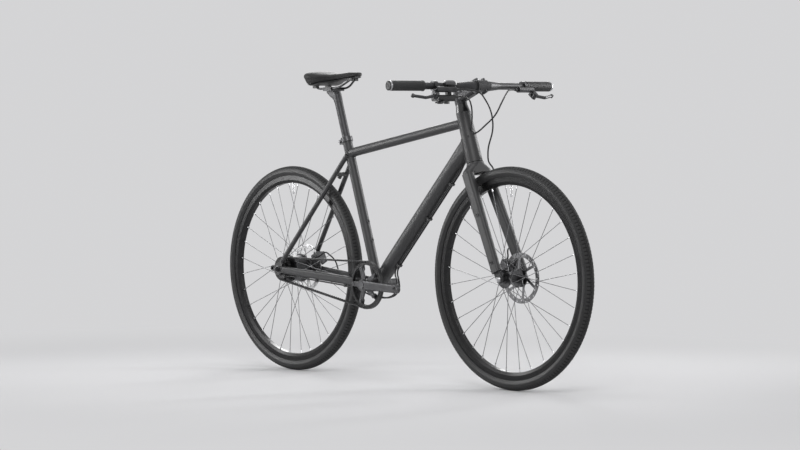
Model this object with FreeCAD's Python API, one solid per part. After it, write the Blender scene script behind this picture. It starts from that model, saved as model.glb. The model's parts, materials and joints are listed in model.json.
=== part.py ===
import FreeCAD, Part
import math
import os

# A flat-bar hybrid bicycle with a toothed belt, a hub gear and disc brakes.
# Millimetres and degrees. +X is forward, +Y is the rider's left, +Z is up.
# The origin lies on the ground, midway between the two wheel axles.

# Overall geometry
rim_seat_diameter = 622.0
tyre_section = 38.0
tyre_radius = rim_seat_diameter / 2 + tyre_section
wheel_gap = 374.0
wheelbase = 2 * tyre_radius + wheel_gap
bottom_bracket_drop = 40.0
bracket_gap = 90.0
chainstay_length = tyre_radius + bracket_gap
head_angle = 72.0
seat_angle = 72.3
fork_rake = 45.0
crown_gap = 43.0
fork_length = tyre_radius + crown_gap

# Clearances
running_clearance = 0.05
seat_clearance = 0.02
free_clearance = 0.3
cut_overrun = 5.0

# Head tube and headset
head_tube_length = 165.0
head_tube_top_diameter = 47.0
head_tube_bottom_diameter = 52.0
head_tube_wall = 2.6
head_tube_foot = 24.0
head_tube_taper = 105.0
headset_gap = 2.0
headset_bearing_height = 8.0
headset_cover_height = 28.0
headset_cover_top_diameter = 37.0

# Main tubes
top_tube_diameter = 30.0
top_tube_wall = 1.6
top_tube_seat_height = 453.5
top_tube_head_depth = 31.8
down_tube_width = 50.0
down_tube_wall = 1.8
down_tube_corner_share = 0.47
down_tube_head_width = 38.0
down_tube_head_depth = 56.0
down_tube_head_height = 68.0
down_tube_foot_width = 48.0
down_tube_foot_depth = 40.0
down_tube_flare_share = 0.16
seat_tube_diameter = 32.0
seat_tube_length = 509.0
seatpost_diameter = 27.2

# Bottom bracket
shell_length = 73.0
shell_diameter = 46.0
shell_bore = 34.0
cup_diameter = 42.0
cup_reach = 6.5
cup_depth = 18.0
spindle_diameter = 24.0

# Rear triangle
dropout_spacing = 135.0
dropout_thickness = 7.0
dropout_radius = 21.0
dropout_arm_width = 20.0
dropout_slot_reach = 30.0
stay_gap = 30.0
chainstay_rear_width = 16.0
chainstay_rear_depth = 24.0
chainstay_front_width = 16.0
chainstay_front_depth = 30.0
chainstay_front_half_spread = 26.0
chainstay_wall = 1.8
stay_corner_share = 0.42
seatstay_diameter = 16.0
seatstay_wall = 1.5
seatstay_top_height = 446.0
seatstay_top_half_spread = 15.0
bridge_diameter = 14.0
bridge_drop = 80.0
bridge_boss_diameter = 14.0
bridge_boss_length = 16.0
chainstay_bridge_reach = 62.0
brake_tab_thickness = 5.0

# Threaded bosses
cage_boss_diameter = 12.0
cage_boss_height = 2.5
cage_boss_bore = 5.0
cage_boss_low = 148.0
cage_boss_spacing = 64.0
eyelet_diameter = 12.0
eyelet_bore = 5.0
eyelet_height = 2.0

# Seat collar and seatpost
collar_height = 16.0
collar_wall = 3.5
collar_lug_length = 12.0
collar_lug_width = 18.0
collar_slot = 3.0
collar_bolt_diameter = 5.0
collar_bolt_head = 9.0
collar_bolt_head_length = 4.0
seatpost_wall = 2.4
seatpost_insertion = 110.0
seatpost_top_height = 665.0
seatpost_setback = 16.0
seatpost_head_length = 52.0
seatpost_head_width = 26.0
seatpost_head_depth = 14.0
seatpost_head_edge = 6.0
seatpost_flare = 30.0
flare_rise_shares = (0.0, 0.3, 0.55, 0.75)
flare_grow_shares = (0.0, 0.07, 0.26, 0.55)
seatpost_head_corner_share = 0.3

# Saddle
saddle_length = 240.0
saddle_width = 142.0
saddle_rear_reach = 106.0
saddle_rise = 65.0
saddle_depth = 42.0
saddle_kick = 12.0
saddle_shell_thickness = 4.0
saddle_shell_inset = 9.0
saddle_station_shares = (0.0, 0.07, 0.13, 0.2, 0.36, 0.52, 0.68, 0.86, 0.97, 1.0)
saddle_width_shares = (0.5, 0.86, 0.96, 1.0, 0.86, 0.55, 0.37, 0.3, 0.23, 0.13)
saddle_height_shares = (0.5, 0.96, 1.0, 1.0, 0.55, 0.25, 0.35, 0.6, 0.5, 0.1)
saddle_depth_shares = (0.6, 0.95, 1.0, 1.0, 0.72, 0.5, 0.42, 0.38, 0.3, 0.18)
saddle_crown_share = 0.4
saddle_waist_share = 0.86
saddle_lean_share = 0.42
rail_diameter = 7.0
rail_half_spread = 22.0
rail_clamp_length = 100.0
rail_socket_length = 18.0
rail_socket_width = 13.0
rail_socket_depth = 11.0
rail_nose_half_spread = 9.0
rail_rear_half_spread = 27.0
rail_rear_share = 0.13
rail_nose_share = 0.86
cradle_length = 40.0
cradle_width = 60.0
cradle_depth = 8.0
cradle_gap = 1.0
cradle_bolt_diameter = 6.0
cradle_bolt_head = 10.0
cradle_bolt_head_length = 2.0
cradle_bolt_spread = 28.0

# Fork
steerer_diameter = 28.6
steerer_wall = 2.5
crown_depth = 41.0
crown_drop = 34.0
crown_width = 110.0
crown_drop_shares = (0.0, 0.14, 0.3, 0.48, 0.66, 0.84, 1.0)
crown_width_shares = (0.0, 0.05, 0.2, 0.48, 0.76, 0.94, 1.0)
crown_corner_share = 0.44
race_height = 1.5
blade_top_half_spread = 41.0
blade_top_width = 27.0
blade_top_depth = 40.0
blade_bottom_half_spread = 56.5
blade_bottom_width = 21.0
blade_bottom_depth = 34.0
blade_corner_share = 0.4
blade_end_gap = 24.0
fork_spacing = 100.0
fork_dropout_thickness = 7.0
fork_dropout_radius = 13.0
fork_eyelet_share = 0.42
fork_low_eyelet_share = 0.9

# Front axle
front_axle_diameter = 9.0
front_axle_head = 19.0
front_axle_head_length = 8.0

# Stem and handlebar
stem_length = 100.0
stem_rise_angle = 22.5
stem_clamp_height = 38.0
stem_clamp_wall = 5.0
stem_width = 34.0
stem_depth = 30.0
stem_corner_share = 0.35
bar_clamp_width = 44.0
bar_clamp_wall = 4.5
faceplate_gap = 1.0
stem_bolt_diameter = 5.0
stem_bolt_head = 8.5
stem_bolt_head_length = 5.0
stem_bolt_spread = 15.0
stem_bolt_length = 20.0
stem_bolt_stand = 6.0
stem_bolt_lift = 19.6
stem_lug_diameter = 10.0
stem_lug_length = 10.0
top_cap_height = 5.0
top_cap_depth = 6.0
bar_half_width = 349.0
bar_clamp_diameter = 31.8
bar_grip_diameter = 22.2
bar_wall = 2.4
bar_bend_reach = 36.0
bar_taper_share = 0.6
bar_sweep = 41.0
bar_rise = 1.0
grip_length = 130.0
grip_diameter = 32.0
grip_flange_diameter = 34.0
grip_flange_length = 5.0
grip_cap = 3.0

# Brake levers
right_lever_inset = 171.0
left_lever_inset = 139.0
lever_clamp_width = 14.0
lever_clamp_wall = 5.0
cylinder_diameter = 18.0
cylinder_length = 74.0
cylinder_outboard = 12.0
cylinder_offset = 31.0
cylinder_tilt = 22.0
hose_nut_diameter = 9.0
hose_nut_length = 14.0
lever_pivot_offset = 47.0
lever_pivot_diameter = 5.0
lever_ear_thickness = 4.0
lever_eye_diameter = 15.0
lever_eye_height = 11.0
lever_tilt = 42.0
lever_length = 88.0
lever_root_width = 10.5
lever_tip_width = 9.0
lever_thickness = 8.0
lever_bow = 9.0
lever_bridge_reach = 14.0
lever_bridge_depth = 8.0
lever_middle_share = 0.5
lever_corner_share = 0.4
lever_knob_share = 0.7

# Gear shifter
shifter_inset = 221.0
shifter_clamp_width = 14.0
shifter_clamp_wall = 4.0
pod_length = 62.0
pod_depth = 42.0
pod_height = 20.0
pod_corner_share = 0.35
pod_drop = 38.0
pod_fore = 8.0
pod_outboard = 52.0
shift_hub_diameter = 18.0
shift_hub_height = 5.0
shift_hub_gap = 0.4
shift_pin_diameter = 6.0
shift_pin_reach = 8.0
shift_pivot_share = 0.2
shift_lever_lean_share = 0.15
shift_lever_length = 40.0
shift_lever_width = 11.0
shift_lever_pad = 17.0
display_length = 44.0
display_width = 34.0
display_height = 13.0
display_corner_share = 0.4
display_dome_share = 0.55
display_fore = 12.0
display_rise = 4.0

# Wheels
tyre_wall = 3.0
rim_width = 24.0
rim_inner_width = 15.0
rim_depth = 25.0
rim_wall = 2.2
rim_flange = 6.0
rim_shoulder_share = 0.6
spoke_count = 32
spoke_diameter = 2.0
nipple_diameter = 4.0
nipple_length = 12.0
spoke_stagger = 2.0
spoke_stand = 1.2
spoke_edge = 4.0
flange_thickness = 3.0
rotor_diameter = 160.0
rotor_thickness = 1.8
rotor_track = 15.0
rotor_arm_count = 6
rotor_arm_width = 9.0
rotor_boss_diameter = 38.0
rotor_hub_diameter = 56.0
rotor_hole_diameter = 5.0
rotor_hole_count = 24
rotor_arm_lean = 25.0
rotor_collar = 3.0
rotor_lock = 4.0
hub_end_gap = 0.5

# Front hub
front_flange_diameter = 58.0
front_hub_diameter = 27.0
front_left_flange = 20.0
front_right_flange = 33.0
front_rotor_reach = 39.0
front_hub_end_diameter = 18.0
front_spoke_turn = 62.0

# Rear hub, axle and gear joint
rear_flange_diameter = 96.0
rear_hub_diameter = 86.0
rear_left_flange = 29.0
rear_right_flange = 27.0
rear_rotor_reach = 52.0
rear_hub_end_diameter = 24.0
rear_spoke_turn = 42.0
driver_diameter = 32.0
rear_axle_diameter = 10.0
rear_axle_overhang = 15.0
axle_nut_across = 15.0
axle_nut_height = 9.0
axle_washer_diameter = 24.0
axle_washer_height = 2.0
joint_diameter = 48.0
joint_arm_length = 28.0
joint_arm_width = 12.0
joint_gap = 1.0
tension_screw_diameter = 5.0
tension_screw_head_length = 4.0

# Brake calipers
caliper_angle_rear = 27.0
caliper_angle_front = 152.0
caliper_length = 38.0
caliper_inner_radius = 60.0
caliper_outer_radius = 88.0
caliper_half_width = 17.3
caliper_slot_roof = 4.0
caliper_corner = 6.0
pad_thickness = 3.5
pad_length = 26.0
caliper_bolt_diameter = 6.0
caliper_bolt_head = 10.0
caliper_bolt_head_length = 4.0
caliper_bolt_length = 12.0
caliper_bolt_spread = 22.0

# Belt drive
belt_pitch = 11.0
front_teeth = 44
rear_teeth = 22
belt_line = 50.5
belt_width = 11.0
belt_band = 3.0
belt_tooth_width = 5.4
belt_tooth_height = 3.2
sprocket_rim = 7.0
sprocket_web = 5.0
belt_tip_drop = 0.7
groove_clearance = 0.6
bolt_circle = 110.0
arm_count = 5
ring_bolt_diameter = 8.0
ring_bolt_head = 11.0
ring_bolt_head_height = 2.0

# Cranks
crank_length = 170.0
crank_angle = -2.3
crank_boss_diameter = 38.0
crank_gap = 1.0
crank_root_width = 30.0
crank_tip_width = 26.0
crank_thickness = 12.0
crank_corner_share = 0.3
crank_flare = 5.0
pedal_eye_diameter = 29.0
pedal_thread_diameter = 14.3
spider_thickness = 6.0
spider_root_width = 22.0
spider_tip_width = 16.0
spindle_cap_diameter = 22.0
spindle_cap_depth = 4.0
spindle_wall = 3.0

# Hoses and cable
hose_diameter = 5.0
hose_hole_clearance = 0.4
clip_width = 8.0
clip_wall = 2.0
under_tube_gap = 3.0
line_half_spread = 5.0
port_reach = 15.0
port_low_height = 84.0
port_high_height = 95.0
clip_distances = (490.0, 334.0, 120.0)
left_clip_shares = (0.3, 0.62)
right_clip_shares = (0.3, 0.62)
stay_line_gap = 1.5

up = FreeCAD.Vector(0, 0, 1)
left = FreeCAD.Vector(0, 1, 0)
forward = FreeCAD.Vector(1, 0, 0)


def vec(x, y, z):
    return FreeCAD.Vector(x, y, z)


def turned_by(vector, axis, degrees):
    return FreeCAD.Rotation(axis, degrees).multVec(vector)


def unit(vector):
    return FreeCAD.Vector(vector).normalize()


# Shapes that many pieces share
def rod(start, end, radius, end_radius=None):
    axis = end - start
    if end_radius is None or abs(end_radius - radius) < seat_clearance:
        return Part.makeCylinder(radius, axis.Length, start, axis)
    return Part.makeCone(radius, end_radius, axis.Length, start, axis)


def pipe(start, end, radius, inner_radius):
    return rod(start, end, radius).cut(rod(start, end, inner_radius))


def turned(profile, base, axis):
    # The profile lists (radius, height) corners, with height along the axis from the base.
    corners = [vec(radius, 0, height) for radius, height in profile]
    face = Part.Face(Part.makePolygon(corners + corners[:1]))
    solid = face.revolve(vec(0, 0, 0), up, 360)
    solid.Placement = FreeCAD.Placement(base, FreeCAD.Rotation(up, axis))
    return solid


def placing(origin, along, side):
    # Local Z runs along, local Y runs as near to the side as a square frame allows.
    along = unit(along)
    side = unit(side - along * side.dot(along))
    return FreeCAD.Placement(origin, FreeCAD.Rotation(side.cross(along), side, along, "ZYX"))


def section(width, depth, corner):
    # A rounded rectangle with its width along local Y and its depth along local X.
    half_depth = depth / 2
    half_width = width / 2
    bow = corner * (1 - math.sqrt(0.5))
    edges = []
    for turn in range(4):
        a, b = (half_depth, half_width) if turn % 2 == 0 else (half_width, half_depth)
        spots = [(a, -b + corner), (a, b - corner), (a - bow, b - bow), (a - corner, b)]
        points = [turned_by(vec(x, y, 0), up, 90 * turn) for x, y in spots]
        edges.append(Part.LineSegment(points[0], points[1]).toShape())
        edges.append(Part.Arc(points[1], points[2], points[3]).toShape())
    return Part.Wire(edges)


def lofted(stations, side):
    # Each station gives a centre, the way the bar runs there, its width, depth and corner radius.
    wires = []
    for centre, along, width, depth, corner in stations:
        wire = section(width, depth, corner)
        wire.Placement = placing(centre, along, side)
        wires.append(wire)
    return Part.makeLoft(wires, True, True)


def bar(start, end, width, depth, corner, side):
    along = end - start
    return lofted([(start, along, width, depth, corner), (end, along, width, depth, corner)], side)


def block(centre, along, side, length, width, depth):
    # Length runs along, width runs to the side and depth is square to both.
    box = Part.makeBox(depth, width, length, vec(-depth / 2, -width / 2, -length / 2))
    box.Placement = placing(centre, along, side)
    return box


def hose(points, radius, name=""):
    # Straight runs joined by tangent arcs, each as large as its two runs allow.
    edges = []
    radii = []
    start = points[0]
    for before, corner, after in zip(points, points[1:], points[2:]):
        inward = unit(corner - before)
        outward = unit(after - corner)
        half_turn = inward.getAngle(outward) / 2
        reach_share = 0.45
        trim = reach_share * min((corner - before).Length, (after - corner).Length)
        bend = trim / math.tan(half_turn)
        bow = bend / math.cos(half_turn) - bend
        middle = corner + unit(outward - inward) * bow
        edges.append(Part.LineSegment(start, corner - inward * trim).toShape())
        edges.append(Part.Arc(corner - inward * trim, middle, corner + outward * trim).toShape())
        start = corner + outward * trim
        radii.append(bend)
    edges.append(Part.LineSegment(start, points[-1]).toShape())
    path = Part.Wire(edges)
    circle = Part.Wire(Part.Circle(points[0], points[1] - points[0], radius).toShape())
    solid = path.makePipeShell([circle], True, False)
    if name:
        expected = math.pi * radius ** 2 * path.Length
        print(name, "length %.0f" % path.Length, "volume share %.4f" % (solid.Volume / expected),
              "least radius %.1f" % min(radii))
    return solid


def fused(first, *others):
    return first.fuse(list(others)).removeSplitter()


def group(shapes):
    return Part.makeCompound(list(shapes))


# Places that the pieces share
rear_centre = vec(-wheelbase / 2, 0, tyre_radius)
front_centre = vec(wheelbase / 2, 0, tyre_radius)
bracket_reach = math.sqrt(chainstay_length ** 2 - bottom_bracket_drop ** 2)
bracket = rear_centre + vec(bracket_reach, 0, -bottom_bracket_drop)
steer_up = turned_by(up, left, head_angle - 90)
steer_fore = turned_by(forward, left, head_angle - 90)
crown = front_centre - steer_fore * fork_rake + steer_up * fork_length
head_foot = crown + steer_up * headset_gap
head_top = head_foot + steer_up * head_tube_length
seat_up = turned_by(up, left, seat_angle - 90)
seat_top = bracket + seat_up * seat_tube_length
steerer_radius = steerer_diameter / 2
cover_foot = head_top + steer_up * free_clearance
stem_foot = cover_foot + steer_up * headset_cover_height
stem_centre = stem_foot + steer_up * (stem_clamp_height / 2)
stem_along = turned_by(forward, left, -stem_rise_angle)
bar_centre = stem_centre + stem_along * stem_length


def head_profile(wall):
    low = head_tube_bottom_diameter / 2 - wall
    high = head_tube_top_diameter / 2 - wall
    taper_end = head_tube_foot + head_tube_taper
    return [(low, 0), (low, head_tube_foot), (high, taper_end), (high, head_tube_length)]


head_envelope = turned([(0, 0)] + head_profile(0) + [(0, head_tube_length)], head_foot, steer_up)
seat_envelope = rod(bracket, seat_top, seat_tube_diameter / 2)
shell_half = shell_length / 2
shell_envelope = rod(bracket - left * shell_half, bracket + left * shell_half, shell_diameter / 2)

# Down tube line, which the hose and the cable follow below it
down_top = head_foot + steer_up * down_tube_head_height
down_along = unit(down_top - bracket)
down_below = down_along.cross(left) * -1
if down_below.z > 0:
    down_below = down_below * -1
down_length = (down_top - bracket).Length


def below_down_tube(distance, offset):
    drop = down_tube_width / 2 + under_tube_gap + hose_diameter / 2
    return bracket + down_along * distance + down_below * drop + left * offset


def stay_end(direction, hand):
    # The point where a stay's middle line meets the dropout plate.
    reach = (dropout_spacing + dropout_thickness) / 2
    return rear_centre + left * (hand * reach) + direction * stay_gap


chainstay_rear_way = unit(bracket - rear_centre)
seatstay_joint = bracket + seat_up * seatstay_top_height
seatstay_rear_way = unit(seatstay_joint - rear_centre)


def chainstay_ends(hand):
    front = bracket + left * (hand * chainstay_front_half_spread)
    return stay_end(chainstay_rear_way, hand), front


def seatstay_ends(hand):
    return stay_end(seatstay_rear_way, hand), seatstay_joint + left * (hand * seatstay_top_half_spread)


# Hose and cable routes, each point chosen by hand on the way that the real line takes
def around_steerer(height, degrees):
    # A corner of the way round inside the head tube, between the steerer and the wall.
    middle = (steerer_radius + head_tube_top_diameter / 2 - head_tube_wall) / 2
    slack = hose_diameter / 2
    return head_foot + steer_up * height + turned_by(steer_fore, steer_up, degrees) * (middle + slack)


def inside_route(height, hand, drop):
    # From the port in front, round one side of the steerer, out below the down tube.
    # A drop lowers the way out, so that one line passes below the other.
    first = around_steerer(height, 34 * hand)
    ahead = unit(turned_by(steer_fore, steer_up, -22 * hand))
    rise_share = 0.25
    entry = first + (turned_by(ahead, steer_up, -42 * hand) + steer_up * rise_share) * (2 * port_reach)
    return [
        entry,
        first,
        around_steerer(height - 10, 72 * hand),
        around_steerer(height - 22, 112 * hand),
        around_steerer(height - 38 - drop, 152 * hand),
    ]


def outside_route(hand):
    offset = line_half_spread * hand
    return [
        below_down_tube(down_length - 92, offset),
        below_down_tube(92, offset),
    ]


def loop_below_bracket(hand):
    offset = line_half_spread * hand
    return [
        bracket + vec(98, offset, 12),
        bracket + vec(100, offset, -12),
        bracket + vec(80, offset, -34),
        bracket + vec(46, offset, -44),
    ]


def line_holes():
    radius = hose_diameter / 2 + hose_hole_clearance
    return [hose(rear_brake_route(), radius), hose(shift_cable_route(), radius)]


# Frame tubes
def head_tube():
    walls = head_profile(0) + head_profile(head_tube_wall)[::-1]
    return turned(walls, head_foot, steer_up).cut(line_holes())


def top_tube():
    start = bracket + seat_up * top_tube_seat_height
    end = head_top - steer_up * top_tube_head_depth
    tube = pipe(start, end, top_tube_diameter / 2, top_tube_diameter / 2 - top_tube_wall)
    return tube.cut(seat_envelope).cut(head_envelope)


def down_tube_body(wall):
    flare = down_length * down_tube_flare_share
    sizes = [
        (0, down_tube_foot_width, down_tube_foot_depth),
        (flare, down_tube_width, down_tube_width),
        (down_length - flare, down_tube_width, down_tube_width),
        (down_length, down_tube_head_width, down_tube_head_depth),
    ]
    stations = []
    for distance, width, depth in sizes:
        inner_width = width - 2 * wall
        inner_depth = depth - 2 * wall
        corner = down_tube_corner_share * min(inner_width, inner_depth)
        stations.append((bracket + down_along * distance, down_along, inner_width, inner_depth, corner))
    return lofted(stations, left)


def down_tube():
    tube = down_tube_body(0).cut(down_tube_body(down_tube_wall))
    return tube.cut([shell_envelope, head_envelope, seat_envelope] + line_holes())


def seat_tube():
    bore = seatpost_diameter / 2 + running_clearance
    outward = turned_by(seat_up, left, 90)
    bosses = []
    holes = []
    for step in range(2):
        foot = bracket + seat_up * (cage_boss_low + step * cage_boss_spacing)
        face = foot + outward * (seat_tube_diameter / 2 + cage_boss_height)
        bosses.append(rod(foot, face, cage_boss_diameter / 2))
        holes.append(rod(foot, face + outward * cut_overrun, cage_boss_bore / 2))
    clear = rod(bracket, seat_top + seat_up * cut_overrun, bore)
    return fused(seat_envelope, *bosses).cut([clear, shell_envelope] + holes)


def bottom_bracket_shell():
    ends = bracket - left * shell_half, bracket + left * shell_half
    return pipe(ends[0], ends[1], shell_diameter / 2, shell_bore / 2)


def chainstay(hand, wall):
    rear, front = chainstay_ends(hand)
    along = front - rear
    sizes = (
        (rear, chainstay_rear_width, chainstay_rear_depth),
        (front, chainstay_front_width, chainstay_front_depth),
    )
    stations = []
    for centre, width, depth in sizes:
        corner = stay_corner_share * width - wall
        stations.append((centre, along, width - 2 * wall, depth - 2 * wall, corner))
    return lofted(stations, left)


def hollow_chainstay(hand):
    return chainstay(hand, 0).cut(chainstay(hand, chainstay_wall)).cut(shell_envelope)


def seatstay(hand):
    rear, top = seatstay_ends(hand)
    radius = seatstay_diameter / 2
    return pipe(rear, top, radius, radius - seatstay_wall).cut(seat_envelope)


def stay_bridges():
    # A tube between the seatstays with a threaded boss, and one between the chainstays.
    rear, top = seatstay_ends(1)
    share = bridge_drop / (top - rear).Length
    end = top + (rear - top) * share
    middle = vec(end.x, 0, end.z)
    tube = rod(middle - left * end.y, middle + left * end.y, bridge_diameter / 2)
    outward = unit(rear_centre - vec(middle.x, 0, middle.z))
    boss_end = middle + outward * bridge_boss_length
    upper = fused(tube, rod(middle, boss_end, bridge_boss_diameter / 2))
    hole = rod(middle, boss_end + outward * cut_overrun, eyelet_bore / 2)
    radius = seatstay_diameter / 2
    upper = upper.cut(hole)
    for hand in (1, -1):
        ends = seatstay_ends(hand)
        upper = upper.cut(rod(ends[0], ends[1], radius))
    near = bracket - chainstay_rear_way * chainstay_bridge_reach
    half = chainstay_front_half_spread * 2
    lower = rod(near - left * half, near + left * half, bridge_diameter / 2)
    for hand in (1, -1):
        lower = lower.cut(chainstay(hand, 0))
    middle_piece = [solid for solid in lower.Solids if abs(solid.CenterOfMass.y) < bridge_diameter]
    return group([upper, middle_piece[0]])


def dropout(hand):
    # A plate round the axle with arms to both stays and a slot that opens to the rear.
    inner = rear_centre + left * (hand * dropout_spacing / 2)
    outer = inner + left * (hand * dropout_thickness)
    middle = (inner + outer) / 2
    ways = (
        (chainstay_rear_way, stay_gap),
        (seatstay_rear_way, stay_gap),
        (chainstay_rear_way * -1, dropout_slot_reach),
    )
    arms = []
    for way, reach in ways:
        arms.append(block(middle + way * (reach / 2), way, left, reach, dropout_thickness, dropout_arm_width))
    plate = fused(rod(inner, outer, dropout_radius), *arms)
    slot_width = rear_axle_diameter + 2 * running_clearance
    slot_reach = dropout_slot_reach + cut_overrun
    slot_centre = middle - chainstay_rear_way * (slot_reach / 2)
    slot = block(slot_centre, chainstay_rear_way, left, slot_reach, dropout_thickness + cut_overrun, slot_width)
    hole = rod(inner - left * (hand * cut_overrun), outer + left * (hand * cut_overrun), slot_width / 2)
    return plate.cut([hole, slot])


def caliper_seat(centre, rotor_reach, angle):
    # The middle of the plate outside the rotor that a caliper is bolted to.
    radial = turned_by(forward, left, -angle)
    middle_radius = (caliper_inner_radius + caliper_outer_radius) / 2
    outside = rotor_reach + caliper_half_width + brake_tab_thickness / 2
    return centre + left * outside + radial * middle_radius, radial


def caliper_bolt_spots(centre, rotor_reach, angle):
    seat, radial = caliper_seat(centre, rotor_reach, angle)
    tangent = radial.cross(left)
    return [seat + tangent * (step * caliper_bolt_spread / 2) for step in (-1, 1)]


def caliper_bolt_holes(centre, rotor_reach, angle):
    spots = caliper_bolt_spots(centre, rotor_reach, angle)
    overrun = left * cut_overrun
    return [rod(spot - overrun, spot + overrun, caliper_bolt_diameter / 2) for spot in spots]


def brake_tab(centre, rotor_reach, angle, anchor_way, anchor_reach, depth):
    # The plate that carries a caliper, joined back to the dropout or the blade.
    seat, radial = caliper_seat(centre, rotor_reach, angle)
    size = caliper_outer_radius - caliper_inner_radius
    pad = block(seat, radial, left, size, brake_tab_thickness, caliper_length)
    anchor = vec(centre.x, seat.y, centre.z) + anchor_way * anchor_reach
    link = block((seat + anchor) / 2, anchor - seat, left, (anchor - seat).Length, brake_tab_thickness, depth)
    return fused(pad, link)


def dropouts():
    pieces = []
    for hand in (1, -1):
        rear, top = seatstay_ends(hand)
        plate = dropout(hand)
        holes = []
        if hand > 0:
            tab = brake_tab(rear_centre, rear_rotor_reach, caliper_angle_rear, chainstay_rear_way,
                            dropout_radius, dropout_arm_width)
            plate = fused(plate, tab)
            holes = caliper_bolt_holes(rear_centre, rear_rotor_reach, caliper_angle_rear)
        plate = plate.cut([chainstay(hand, 0), rod(rear, top, seatstay_diameter / 2)] + holes)
        pieces.append(max(plate.Solids, key=lambda solid: solid.Volume))
    return group(pieces)


# Frame fittings
collar_foot = seat_top - seat_up * collar_height
collar_middle = (collar_foot + seat_top) / 2
collar_behind = turned_by(seat_up, left, -90)
collar_outer = seat_tube_diameter / 2 + seat_clearance + collar_wall


def collar_bolt_centre():
    return collar_middle + collar_behind * (collar_outer + collar_lug_length / 2)


def seat_collar():
    ring = rod(collar_foot, seat_top, collar_outer)
    lug_reach = collar_outer + collar_lug_length
    lug_centre = collar_middle + collar_behind * (lug_reach / 2)
    lug = block(lug_centre, collar_behind, left, lug_reach, collar_lug_width, collar_height)
    overrun = seat_up * cut_overrun
    bore = rod(collar_foot - overrun, seat_top + overrun, collar_outer - collar_wall)
    slot = block(lug_centre, collar_behind, left, lug_reach + cut_overrun, collar_slot,
                 collar_height + cut_overrun)
    half = left * (collar_lug_width / 2 + cut_overrun)
    hole = rod(collar_bolt_centre() - half, collar_bolt_centre() + half, collar_bolt_diameter / 2)
    return fused(ring, lug).cut([bore, slot, hole])


def bolt(head_face, way, shank_diameter, length, head_diameter, head_length):
    # The way points from the head into the hole, and the head stands outside its face.
    profile = [
        (0, -head_length),
        (head_diameter / 2, -head_length),
        (head_diameter / 2, 0),
        (shank_diameter / 2 - seat_clearance, 0),
        (shank_diameter / 2 - seat_clearance, length),
        (0, length),
    ]
    return turned(profile, head_face, way)


def frame_bolts():
    # The collar's pinch bolt, the two belt tension screws and the rear caliper's bolts.
    half = collar_lug_width / 2
    pieces = [bolt(collar_bolt_centre() - left * half, left, collar_bolt_diameter, collar_lug_width,
                   collar_bolt_head, collar_bolt_head_length)]
    for hand in (1, -1):
        plate = rear_centre + left * (hand * (dropout_spacing + dropout_thickness) / 2)
        head = plate - chainstay_rear_way * (dropout_slot_reach + free_clearance)
        length = dropout_slot_reach - rear_axle_diameter / 2
        pieces.append(bolt(head, chainstay_rear_way, tension_screw_diameter, length,
                           axle_nut_across, tension_screw_head_length))
    for spot in caliper_bolt_spots(rear_centre, rear_rotor_reach, caliper_angle_rear):
        face = spot + left * (brake_tab_thickness / 2)
        pieces.append(bolt(face, left * -1, caliper_bolt_diameter, caliper_bolt_length,
                           caliper_bolt_head, caliper_bolt_head_length))
    return group(pieces)


def frame_bearings():
    # Two headset bearings round the steerer and two cups round the crank spindle.
    pieces = []
    bore = steerer_radius + running_clearance
    low_radius = head_tube_bottom_diameter / 2 - head_tube_wall - seat_clearance
    high_radius = head_tube_top_diameter / 2 - head_tube_wall - seat_clearance
    pieces.append(pipe(head_foot, head_foot + steer_up * headset_bearing_height, low_radius, bore))
    pieces.append(pipe(head_top - steer_up * headset_bearing_height, head_top, high_radius, bore))
    for hand in (1, -1):
        way = left * hand
        profile = [
            (spindle_diameter / 2 + running_clearance, -cup_depth),
            (shell_bore / 2 - seat_clearance, -cup_depth),
            (shell_bore / 2 - seat_clearance, 0),
            (cup_diameter / 2, 0),
            (cup_diameter / 2, cup_reach),
            (spindle_diameter / 2 + running_clearance, cup_reach),
        ]
        pieces.append(turned(profile, bracket + way * shell_half, way))
    return group(pieces)


def clip(centre, along, seat_way, seat_drop, offsets, side):
    # A guide that stands on a tube and is bored for the lines that it holds.
    size = hose_diameter + 2 * clip_wall
    width = 2 * max(abs(offset) for offset in offsets) + size
    height = seat_drop + size / 2
    body_centre = centre + seat_way * (seat_drop / 2 - size / 4)
    body = block(body_centre, along, side, clip_width, width, height)
    bores = []
    for offset in offsets:
        spot = centre + side * offset
        reach = clip_width
        bores.append(rod(spot - along * reach, spot + along * reach, hose_diameter / 2 + seat_clearance))
    return body.cut(bores)


def hose_clips():
    pieces = []
    offsets = (line_half_spread, -line_half_spread)
    drop = under_tube_gap + hose_diameter / 2
    tube = down_tube_body(0)
    for distance in clip_distances:
        centre = below_down_tube(distance, 0)
        pieces.append(clip(centre, down_along, down_below * -1, drop + clip_wall, offsets, left).cut(tube))
    for hand, spots in ((1, left_clip_shares), (-1, right_clip_shares)):
        stay = chainstay(hand, 0)
        for share in spots:
            centre = beside_chainstay(hand, share)
            along = unit(beside_chainstay(hand, 1) - beside_chainstay(hand, 0))
            way = left * -hand if hand > 0 else up
            side = up if hand > 0 else left
            drop = stay_line_gap + hose_diameter / 2
            pieces.append(clip(centre, along, way, drop + clip_wall, (0,), side).cut(stay))
    return group(pieces)


def beside_chainstay(hand, share):
    # On the left the hose lies outside the chainstay, on the right the cable lies below it.
    rear, front = chainstay_ends(hand)
    centre = front + (rear - front) * share
    width = chainstay_front_width + (chainstay_rear_width - chainstay_front_width) * share
    depth = chainstay_front_depth + (chainstay_rear_depth - chainstay_front_depth) * share
    gap = stay_line_gap + hose_diameter / 2
    if hand > 0:
        return centre + left * (width / 2 + gap)
    return centre - up * (depth / 2 + gap)


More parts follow.
